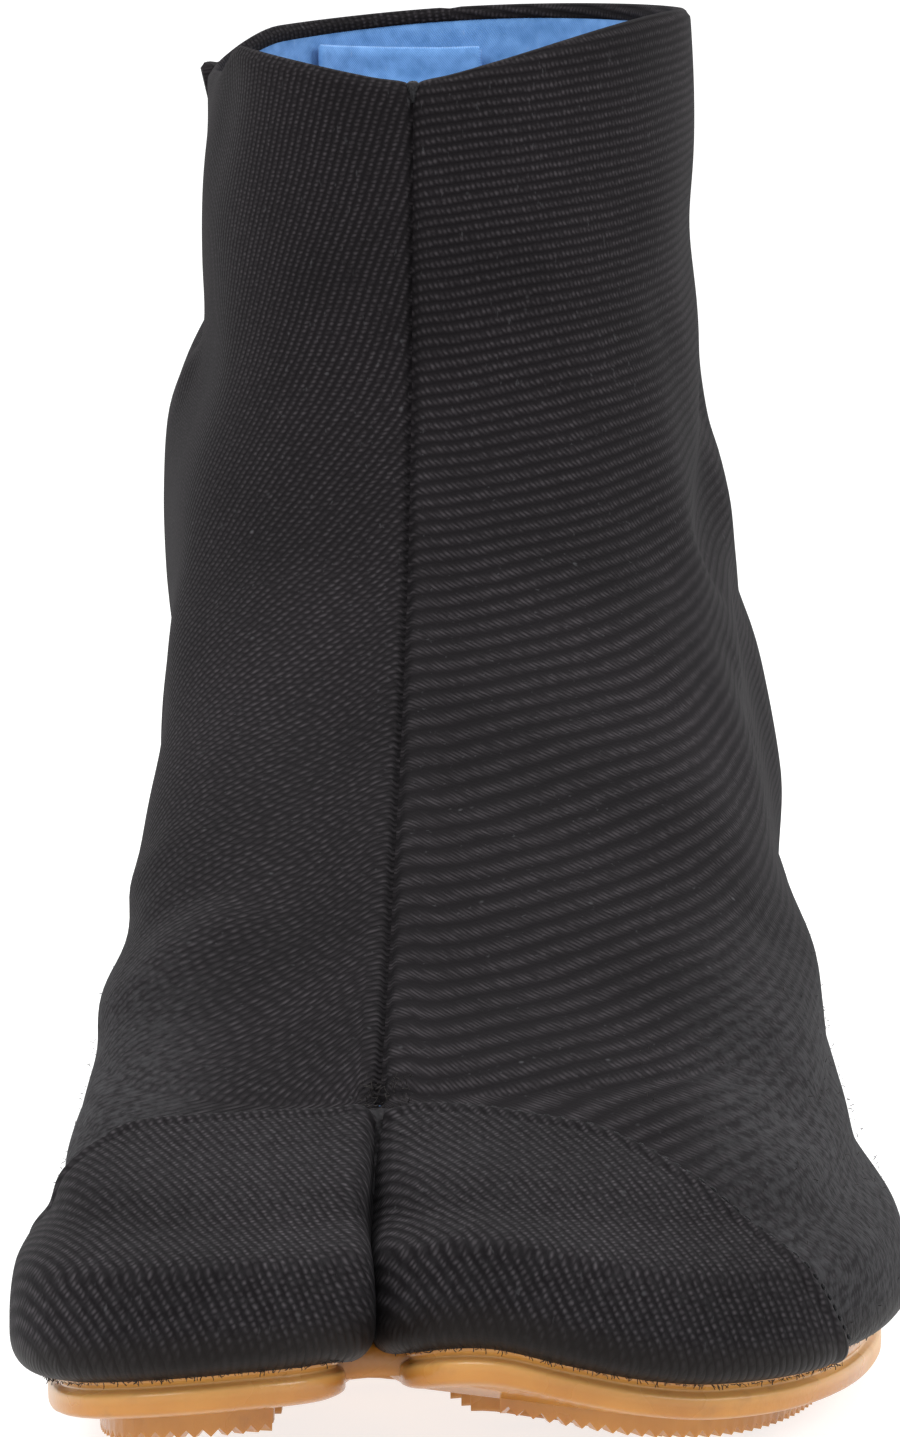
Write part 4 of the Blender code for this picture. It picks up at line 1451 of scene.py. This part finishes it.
@dataclass
class Lining:
    """The blue lining and its underlap."""

    finishes: Finishes
    depth: float = 1.25 * MM
    cloth: float = 0.5 * MM
    underlap_top: float = 0.1618
    underlap_foot: float = 8.0
    underlap_span: tuple[float, float] = (11.6, 13.25)
    underlap_depth: float = 2.6 * MM
    underlap_cloth: float = 0.9 * MM
    wrinkle: float = 0.30 * MM
    fineness: int = 8

    def wrinkles(self, points: Array) -> Array:
        """Soft wrinkles inside the collar.

        Args:
            points: Points of the lining.

        Returns:
            An outset for each point.
        """
        x, y, z = (points[..., i] for i in range(3))
        wave = np.sin(x * 420 + np.sin(z * 160) * 1.3) + 0.6 * np.sin(x * 230 + z * 330 + 0.7)
        top = LAST.collar_side + LAST.collar_tilt * x
        below = 1 - smooth(top - 9 * MM, top - 3 * MM, z)
        return -self.wrinkle * (wave + 1.2) * smooth(90 * MM, 140 * MM, z) * below

    def layer(self, name: str, us: Array, ts: Array, off: Array, thick: float, wrap: bool = False) -> None:
        """One layer of lining cloth.

        Args:
            name: The piece's name.
            us: Its grid's places round the outline.
            ts: Its grid's rings.
            off: The outset of its outer face.
            thick: How thick it is.
            wrap: Whether it closes round the shoe.
        """
        base = LAST.point(us, ts)
        flat = np.stack((arcs(base, 1), base[..., 2]), axis=-1)
        outer, inner = LAST.cloth(us, ts, off), LAST.cloth(us, ts, off - thick)
        hand_over(shell(name, outer, inner, flat, self.finishes.lining, wrap=wrap), Slot.LINING)

    def build(self) -> None:
        """The lining, and the front panel's end lying inside the back of the shaft."""
        round_once = np.arange(STATIONS * self.fineness) / self.fineness
        us, ts = np.meshgrid(round_once, np.linspace(0.6, COLLAR - 0.09, 108))
        off = -self.depth + self.wrinkles(LAST.point(us, ts))
        self.layer("blue_lining", us, ts, off, self.cloth, wrap=True)
        columns = np.linspace(*self.underlap_span, 44)
        tops = LAST.point(columns, np.full(44, COLLAR))[:, 2]
        rate = tops - LAST.point(columns, np.full(44, COLLAR - 1))[:, 2]
        top = COLLAR - (tops - self.underlap_top) / rate
        us, share = np.meshgrid(columns, np.linspace(0.0, 1.0, 70))
        ts = self.underlap_foot + (top[None, :] - self.underlap_foot) * share
        end = 1.2 * MM * smooth(12.9, self.underlap_span[1], us)
        off = -self.underlap_depth - end + self.wrinkles(LAST.point(us, ts)) * 0.8
        self.layer("underlap", us, ts, off, self.underlap_cloth)


@dataclass
class Flap:
    """The closing flap, its lining, its stitches and a loose thread."""

    finishes: Finishes
    repeats: Repeats
    edge: float = 11.0
    back: float = 13.5
    low: float = 7.0
    wall: float = 1.8 * MM
    lining: float = 0.6 * MM
    clearance: float = 0.3 * MM
    standoff: float = 3.0 * MM
    corner: float = 7.0 * MM
    corner_rings: float = 1.6
    dip: float = 0.27
    sewn: tuple[float, float] = (3.2 * MM, 9.5 * MM)
    sewn_depth: float = 0.35 * MM

    def top(self, u: Array) -> Array:
        """How many rings up the flap reaches: its free corner is cut lower than the collar."""
        return COLLAR - self.dip * np.clip(self.back - 0.5 - u, 0.0, 1.0)

    def gap(self, u: Array, t: Array) -> Array:
        """How far the flap's inner face stands off the upper."""
        free = np.clip(BACK_SEAM - u, 0.0, 1.0)
        rings = self.corner_rings
        lifted = self.corner * free * np.clip(t - COLLAR + rings, 0.0, rings) / rings
        foot = np.clip((t - self.low) / 0.8, 0.25, 1.0)
        return self.clearance + (self.standoff - self.clearance) * free * foot + lifted

    def build(self) -> None:
        """The flap."""
        us, shares = np.meshgrid(np.linspace(self.edge, self.back, 70), np.linspace(0.0, 1.0, 110))
        ts = self.low + (self.top(us) - self.low) * shares
        base = LAST.point(us, ts)
        gap = self.gap(us, ts)
        line = LAST.point(np.full(50, self.edge), np.linspace(self.low, COLLAR, 50))
        folded = np.exp(-((us - self.edge) / 0.10) ** 4)
        away = distance_to_line(base, line)
        grooves = -self.sewn_depth * sum(bell(away, distance, 0.6 * MM) for distance in self.sewn)
        outer = LAST.cloth(us, ts, gap + self.wall + grooves)
        middle = LAST.cloth(us, ts, gap + self.lining * (1 - folded))
        inner = LAST.cloth(us, ts, gap)
        flat = np.stack((arcs(base[..., :2], 1), base[..., 2]), axis=-1)
        piece = shell("closing_flap_cloth", outer, middle, flat, self.finishes.medial)
        hand_over(piece, Slot.TWILL, "closing_flap")
        keep = slice(int(np.sum(us[0] < self.edge + 0.16)), None)
        faces = (layer[:-2, keep] for layer in (middle, inner, flat))
        hand_over(shell("flap_lining", *faces, self.finishes.lining), Slot.LINING)
        self.loose_thread()
        for number, distance in enumerate(self.sewn, start=1):
            rows = np.linspace(self.low + 0.1, self.top(np.array(self.edge)) - 0.08, 90)
            nearest = [int(np.argmin(np.abs(row - distance))) for row in away]
            u_line = np.interp(rows, ts[:, 0], us[0][nearest])
            points = LAST.cloth(u_line, rows, self.gap(u_line, rows) + self.wall - 0.15 * MM)
            self.repeats.stitch_row(f"flap_stitches_{number}", points, self.finishes.thread)

    def loose_thread(self) -> None:
        """A thread end that stands up at the flap's corner."""
        corner = np.array([self.edge + 0.1]), np.array([COLLAR - self.dip - 0.05])
        start = LAST.cloth(*corner, self.standoff + 2.0 * MM)[0]
        steps = np.linspace(0.0, 1.0, 14)[:, None]
        bend = np.sin(steps * math.pi) * np.array((0.5, 0.2, 0.0)) * MM
        path = start + steps * np.array((0.3, 0.2, 2.6)) * MM + bend
        hand_over(tube("loose_thread", path, 0.10 * MM, 6, self.finishes.thread), Slot.THREAD)


@dataclass
class Cleft:
    """The fuzzy web of cloth between the lobes, and the sole's rubber web under it."""

    finishes: Finishes
    reach: float = 1.15
    top: float = 6.75
    fold: float = 1.3 * MM
    ripple: float = 0.25 * MM
    cloth: float = 1.0 * MM
    web_half: float = 4.8 * MM
    web_front: float = -0.2222
    web_depth: float = 9.0 * MM
    web_low: float = 4.3 * MM
    web_high: float = 8.3 * MM
    web_hollow: float = 0.9 * MM

    def cloth_web(self) -> None:
        """The web of cloth, folded back between the lobes."""
        rows = 70
        ts = np.linspace(0.1, self.top, rows)
        left = LAST.point(np.full(rows, self.reach), ts)
        right = LAST.point(np.full(rows, STATIONS - self.reach), ts)
        across = np.linspace(-0.12, 1.12, 22)[None, :, None]
        sheet = left[:, None] + (right - left)[:, None] * across
        fold = np.sin(np.clip(across, 0, 1) * math.pi) * self.fold
        ripples = self.ripple * np.sin(sheet[..., 2:] * 2600 + across * 5)
        back = np.array((0.0, 1.0, 0.0))
        outer = (sheet + (fold + ripples) * back)[:, ::-1]
        flat = sheet[:, ::-1][..., (0, 2)]
        masks = {"nap": np.full(flat.shape[:2], 0.7), "cement": np.zeros(flat.shape[:2])}
        piece = shell("cleft_web", outer, outer + self.cloth * back, flat, self.finishes.cap, masks=masks)
        hand_over(piece, Slot.TWILL)

    def rubber_web(self) -> None:
        """The thin rubber web that joins the sole's two lobes."""
        front, back, low, high = self.web_front, self.web_front + self.web_depth, self.web_low, self.web_high
        section = np.array((
            (front + 0.4 * MM, low),
            (front, low + 0.9 * MM),
            (front, high - 0.9 * MM),
            (front + 0.5 * MM, high),
            (back, high),
            (back, low),
        ))
        xs = np.linspace(-self.web_half, self.web_half, 17)[:, None]
        hollow = self.web_hollow * np.cos(xs / self.web_half * math.pi / 2)
        x, y = np.broadcast_arrays(LAST.cleft_x + xs, section[:, 0] + hollow * 1.3)
        sunk = np.where(section[:, 1] == high, hollow * 0.35, 0.0)
        points = np.stack((x, y, section[:, 1] + LAST.rise(x, y) - sunk), axis=-1)
        mesh = mesh_from("rubber web", points, tube_faces(*x.shape), merged=False, solid=True)
        hand_over(new_object("rubber_web", mesh, self.finishes.rubber), Slot.RUBBER)

    def build(self) -> None:
        """Both webs."""
        self.cloth_web()
        self.rubber_web()


class Patch(NamedTuple):
    """A strip of cloth that fibres stand on, by its places on the surface."""

    name: str
    start: float
    end: float
    low: float
    high: float
    outset: float
    fibres: dict[str, float]


FRINGE = {"Density": 3.5e6, "Length": 0.55 * MM, "Thickness": 0.05 * MM}
LINT = {"Density": 1.2e5, "Length": 0.45 * MM, "Thickness": 0.045 * MM}
FUZZ = {"Density": 2.0e6, "Length": 1.0 * MM, "Thickness": 0.05 * MM}
PATCHES = (
    Patch("fringe_big_toe", 1.2, 6.3, 0.30, 0.55, 1.35 * MM, FRINGE),
    Patch("fringe_toes", 20.6, 24.8, 0.30, 0.55, 1.35 * MM, FRINGE),
    Patch("fringe_rest", 6.3, 20.6, 0.30, 0.55, 0.0, FRINGE),
    Patch("lint_lateral", 19.0, 22.0, 0.6, 7.5, 0.2 * MM, LINT),
    Patch("lint_medial", 5.0, 8.0, 0.6, 7.5, 0.2 * MM, LINT),
    Patch("lint_cleft", 0.0, 1.6, 3.0, 7.2, 0.5 * MM, FUZZ),
    Patch("lint_cleft_toes", 24.4, 26.0, 3.0, 7.2, 0.5 * MM, FUZZ),
)


@dataclass
class Fluff:
    """Loose fibres: a fringe where the cloth meets the sole, and lint on the low sides."""

    finishes: Finishes
    repeats: Repeats
    rows: int = 6

    def build(self) -> None:
        """Every patch of fibres, grown from a strip of the cloth's surface."""
        for patch in PATCHES:
            columns = int((patch.end - patch.start) * 8) + 1
            round_it = np.linspace(patch.start, patch.end, columns)
            us, ts = np.meshgrid(round_it, np.linspace(patch.low, patch.high, self.rows))
            faces = []
            for j in range(self.rows - 1):
                for i in range(columns - 1):
                    a = j * columns + i
                    faces.append((a, a + columns, a + columns + 1, a + 1))
            ground = mesh_from("fluff ground", LAST.cloth(us, ts, patch.outset), faces)
            tree, fuzz = self.repeats.fibres, self.finishes.fuzz
            piece = self.repeats.run(tree, patch.name, ground, Finish=fuzz, **patch.fibres)
            hand_over(piece, Slot.THREAD)


@dataclass
class Sole:
    """The gum rubber sole: stepped side, tread bars and the toothed edge under the toes."""

    finishes: Finishes
    thickness: float = 5.2 * MM
    tread: float = 3.0 * MM
    step: float = 0.9 * MM
    bar: float = 6.2 * MM
    groove: float = 2.4 * MM
    inset: float = 7.0 * MM
    tooth: float = 1.75 * MM
    tooth_low: float = 0.25 * MM
    tooth_depth: float = 0.85 * MM
    wave: float = 0.8 * MM
    wave_length: float = 7.5 * MM
    fineness: int = 14
    profile: tuple[tuple[float, float], ...] = (
        (-1.3, 0.0), (-0.7, 0.02), (-0.1, 0.05), (0.45, 0.10), (0.62, 0.16), (0.66, 0.30),
        (0.64, 0.44), (0.52, 0.50), (0.15, 0.545), (-0.35, 0.58), (-0.55, 0.61), (-0.45, 0.65),
        (-0.15, 0.69), (0.0, 0.74), (0.06, 0.84), (0.0, 0.93), (-0.2, 0.98), (-0.6, 1.0),
    )
    tread_fields: tuple[tuple[float, float, float], ...] = ((0.020, 0.235, 0.0), (0.520, 0.968, -0.150))
    toothed: tuple[tuple[str, float, float], ...] = (
        ("toes_teeth", 19.0, 23.5), ("big_toe_teeth", 28.3, 32.6), ("heel_teeth", 10.6, 15.4),
    )

    def edge(self, outset: Array | float, u: Array) -> tuple[Array, Array]:
        """The sole's outline, moved outwards."""
        return LAST.outline(u, outset, LAST.sole_cleft_gap, np.ones(u.size))

    def loft(self, profile: Sequence[tuple[float, float]], bottom: float) -> bmesh.types.BMesh:
        """A closed slab through the rows of a profile, bent along the sole's rise.

        Args:
            profile: Outset in metres and height above the bottom, for each row from below.
            bottom: The height of the lowest row.

        Returns:
            The slab.
        """
        us = np.arange(STATIONS * self.fineness) / self.fineness
        bm = bmesh.new()
        painted_highlight = bm.verts.layers.float.new("painted_highlight")
        rows = []
        for outset, height in profile:
            rows.append([bm.verts.new((x, y, bottom + height)) for x, y in zip(*self.edge(outset, us))])
        for low, high in zip(rows, rows[1:]):
            for i in range(len(us)):
                j = (i + 1) % len(us)
                bm.faces.new((low[i], high[i], high[j], low[j]))
        bm.faces.new(rows[0])
        bm.faces.new(rows[-1][::-1])
        for y in np.arange(LAST.heel_back - LAST.sole_length, LAST.heel_back, 4 * MM) + 0.37 * MM:
            wide = [face for face in bm.faces if len(face.verts) > 4]
            edges = {edge for face in wide for edge in face.edges}
            verts = {vert for face in wide for vert in face.verts}
            parts = [*verts, *edges, *wide]
            bmesh.ops.bisect_plane(bm, geom=parts, plane_co=(0, y, 0), plane_no=(0, 1, 0), dist=1e-7)
        bmesh.ops.triangulate(bm, faces=[face for face in bm.faces if len(face.verts) > 4])
        for vert in bm.verts:
            share = (vert.co.z - self.tread) / self.thickness
            # Painted highlight mask: pale bands at the side's groove and top lip, where light catches the
            # rubber.
            vert[painted_highlight] = float(bell(share, 0.55, 0.12) + 0.6 * bell(share, 0.97, 0.08))
            vert.co.z += float(LAST.rise(np.array(vert.co.x), np.array(vert.co.y)))
        bmesh.ops.recalc_face_normals(bm, faces=bm.faces)
        return bm

    def body(self) -> None:
        """The sole above its tread, with its stepped side."""
        rows = [(out * self.step, height * self.thickness) for out, height in self.profile]
        mesh = mesh_of("sole", self.loft(rows, self.tread))
        hand_over(new_object("gum_sole", mesh, self.finishes.rubber), Slot.RUBBER, "outsole")

    def bars(self) -> None:
        """Wavy bars under the heel and forefoot."""
        outline = list(zip(*(line.tolist() for line in self.edge(-self.inset, np.arange(0, STATIONS, 0.1)))))
        pitch = self.bar + self.groove
        points, faces, made = [], [], 0
        for start, end, anchor in self.tread_fields:
            back = LAST.heel_back - start * LAST.sole_length - self.bar / 2
            front = LAST.heel_back - end * LAST.sole_length + self.bar / 2
            for k in range(math.ceil((front - anchor) / pitch), math.floor((back - anchor) / pitch) + 1):
                middle = anchor + k * pitch
                for x0, x1 in self.spans(outline, middle):
                    bar = self.one_bar(x0, x1, middle)
                    points.append(bar.reshape(-1, 3))
                    faces += [tuple(i + made for i in face) for face in tube_faces(*bar.shape[:2])]
                    made += len(points[-1])
        mesh = mesh_from("tread bars", np.concatenate(points), faces, merged=False, solid=True)
        hand_over(new_object("tread_bars", mesh, self.finishes.rubber), Slot.RUBBER)

    def spans(self, outline: list[tuple[float, float]], middle: float) -> list[tuple[float, float]]:
        """The spans of one bar inside the inset outline.

        Args:
            outline: The inset outline.
            middle: The bar's middle, along the shoe.

        Returns:
            Pairs of x.
        """
        ends = []
        for y in (middle - self.bar / 2, middle, middle + self.bar / 2):
            found = []
            for (x0, y0), (x1, y1) in zip(outline, outline[1:] + outline[:1]):
                if (y0 < y) != (y1 < y):
                    found.append(x0 + (x1 - x0) * (y - y0) / (y1 - y0))
            ends.append(sorted(found))
        count = len(ends[0])
        if count < 2 or any(len(end) != count for end in ends):
            return []
        pairs = [(max(end[k] for end in ends), min(end[k + 1] for end in ends)) for k in range(0, count, 2)]
        return [pair for pair in pairs if pair[1] - pair[0] > self.bar]

    def one_bar(self, x0: float, x1: float, middle: float) -> Array:
        """One bar with wavy sides and a softened foot.

        Args:
            x0: Its medial end.
            x1: Its lateral end.
            middle: Its middle, along the shoe.

        Returns:
            Its rings of points.
        """
        steps = max(int((x1 - x0) / (1.2 * MM)), 4)
        xs = np.linspace(x0, x1, steps + 1)
        sway = self.wave * np.sin((xs - x0) * 2 * math.pi / self.wave_length)
        half = self.bar / 2 - 0.8 * MM
        side = ((half + 0.25 * MM, self.tread + 1.2 * MM), (half, 0.35 * MM), (half - 0.35 * MM, 0.0))
        section = np.array([(-out, height) for out, height in side] + list(side[::-1]))
        x, y = np.broadcast_arrays(xs[:, None], middle + sway[:, None] + section[:, 0])
        return np.stack((x, y, section[:, 1] + LAST.rise(x, y)), axis=-1)

    def teeth(self) -> None:
        """The toothed rand under the edge of the forefoot and heel, as one serrated strip for each run."""
        for name, start, end in self.toothed:
            us = np.linspace(start, end, 1200)
            gone = arcs(np.stack(self.edge(-5.0 * MM, us), axis=-1)[None], 1)[0]
            count = int(gone[-1] / self.tooth)
            places = np.interp(np.arange(count * 2 + 1) * self.tooth / 2, gone, us)
            root = np.full(len(places), self.tread + 0.8 * MM)
            tips = self.tooth_low + self.tooth_depth * (np.arange(len(places)) % 2)
            section = ((-4.8 * MM, root), (-5.0 * MM, tips), (-7.4 * MM, tips), (-8.0 * MM, root))
            lines = []
            for outset, height in section:
                x, y = self.edge(outset, places)
                lines.append(np.stack((x, y, height + LAST.rise(x, y)), axis=-1))
            faces = tube_faces(len(places), len(lines))
            mesh = mesh_from(name, np.stack(lines, axis=1), faces, solid=True)
            hand_over(new_object(name, mesh, self.finishes.rubber), Slot.RUBBER)
            mesh.shade_flat()

    def insole(self) -> None:
        """The sock lining, with a soft rounded edge."""
        inset = -(LAST.bulge * 0.35 + 2.9 * MM)
        rows = [(inset, 0.0), (inset + 0.2 * MM, 0.8 * MM), (inset, 1.7 * MM), (inset - 0.5 * MM, 2.2 * MM)]
        bm = self.loft(rows, self.tread + self.thickness + 0.3 * MM)
        layer = bm.loops.layers.uv.new(CLOTH_UV)
        for face in bm.faces:
            for corner in face.loops:
                corner[layer].uv = (corner.vert.co.x, corner.vert.co.y)
        mesh = mesh_of("insole cloth", bm)
        hand_over(new_object("sock_lining", mesh, self.finishes.insole), Slot.LINING, "insole")

    def build(self) -> None:
        """The sole, its tread and the insole."""
        self.body()
        self.bars()
        self.teeth()
        self.insole()


@dataclass
class Studio:
    """The floor, the light and the camera that matches the photograph."""

    camera_y: float = -0.715
    camera_z: float = 0.1225
    pitch: float = 5.0
    lens: float = 118.0
    sensor: float = 36.0
    aim: tuple[float, float, float] = (0.0, -0.1, 0.07)
    floor_grey: float = 0.40
    floor_glow: float = 0.76
    world_light: float = 0.72
    half_width: float = 20.0

    def floor(self) -> None:
        """A pale floor that rises into a backdrop far behind the shoe."""
        bm = bmesh.new()
        profile = [(-20.0, 0.0), (2.0, 0.0), (2.6, 0.08), (3.1, 0.35), (3.4, 0.9), (3.5, 6.0)]
        rows = [[bm.verts.new((x, y, z)) for x in (-self.half_width, self.half_width)] for y, z in profile]
        for low, high in zip(rows, rows[1:]):
            bm.faces.new((low[0], low[1], high[1], high[0]))
        mesh = mesh_of("floor", bm)
        made = bpy.data.materials.new("pale floor")
        made.use_nodes = True
        Board(made.node_tree).put(made.node_tree.nodes["Principled BSDF"], {
            "Base Color": (self.floor_grey, self.floor_grey, self.floor_grey, 1.0),
            "Emission Color": (1.0, 1.0, 1.0, 1.0),
            "Emission Strength": self.floor_glow,
            "Roughness": 0.7,
        })
        floor = new_object("floor", mesh, made)
        mesh.shade_smooth()

    def lamp(self, name: str, place: tuple[float, float, float], size: float, power: float) -> None:
        """A soft square light that faces the shoe.

        Args:
            name: Its name.
            place: Where it stands.
            size: The length of its sides.
            power: Its power in watts.
        """
        light = bpy.data.lights.new(name, "AREA")
        light.size = size
        light.energy = power
        thing = bpy.data.objects.new(name, light)
        bpy.context.scene.collection.objects.link(thing)
        thing.location = place
        aim = np.array(self.aim) - np.array(place)
        yaw = math.atan2(aim[1], aim[0]) - math.pi / 2
        tilt = math.atan2(aim[2], math.hypot(aim[0], aim[1]))
        thing.rotation_euler = (math.pi / 2 + tilt, 0.0, yaw)

    def build(self) -> None:
        """The stage, in order."""
        self.floor()
        self.lamp("key light", (-0.9, -1.0, 1.1), 0.7, 15.0)
        self.lamp("side light", (1.1, -0.4, 0.8), 0.7, 9.0)
        self.lamp("top light", (0.0, 0.2, 1.5), 1.0, 12.0)
        world = bpy.data.worlds.new("studio")
        world.use_nodes = True
        light = {"Color": (1.0, 1.0, 1.0, 1.0), "Strength": self.world_light}
        Board(world.node_tree).put(world.node_tree.nodes["Background"], light)
        bpy.context.scene.world = world
        bpy.context.scene.view_settings.view_transform = "Standard"
        data = bpy.data.cameras.new("camera")
        data.lens = self.lens
        data.sensor_width = self.sensor
        data.sensor_fit = "AUTO"
        camera = bpy.data.objects.new("camera", data)
        bpy.context.scene.collection.objects.link(camera)
        camera.location = (0.0, self.camera_y, self.camera_z)
        camera.rotation_euler = (math.radians(90.0 - self.pitch), 0.0, 0.0)
        bpy.context.scene.camera = camera


def dress_small_nodes(frame: dict[str, Any], finishes: Finishes) -> None:
    """Gives the clasps and their loops their materials.

    Args:
        frame: The loaded frame.
        finishes: The shoe's materials.
    """
    for name, node in frame["nodes"].items():
        finish = None
        if name.startswith("kohaze"):
            finish = finishes.metal
        elif name.startswith("thread_loop"):
            finish = finishes.thread
        if finish is not None:
            node.data.materials.clear()
            node.data.materials.append(finish)
            LOG.info("%s: dressed", name)


BIG_TOE_SEAM = ((1.0, 6.7), (2.0, 6.8), (3.0, 6.75), (4.0, 6.15), (5.0, 4.2), (6.0, 1.9), (6.3, 0.2))
TOES_SEAM = ((20.6, 0.2), (21.0, 2.6), (22.0, 5.6), (23.0, 6.6), (24.0, 6.8), (25.0, 6.7))


def main() -> None:
    """Builds the studio and the shoe."""
    logging.basicConfig(level=logging.INFO, format="%(name)s %(message)s")
    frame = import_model()
    finishes = Finishes()
    repeats = Repeats()
    Studio().build()
    Sole(finishes).build()
    Upper(finishes).build()
    ToeCap(finishes, repeats, "cap_big_toe", "toe_cap_big_toe", BIG_TOE_SEAM).build()
    ToeCap(finishes, repeats, "cap_toes", "toe_cap_toes", TOES_SEAM).build()
    Lining(finishes).build()
    Flap(finishes, repeats).build()
    Cleft(finishes).build()
    Fluff(finishes, repeats).build()
    dress_small_nodes(frame, finishes)


if __name__ == "__main__":
    main()
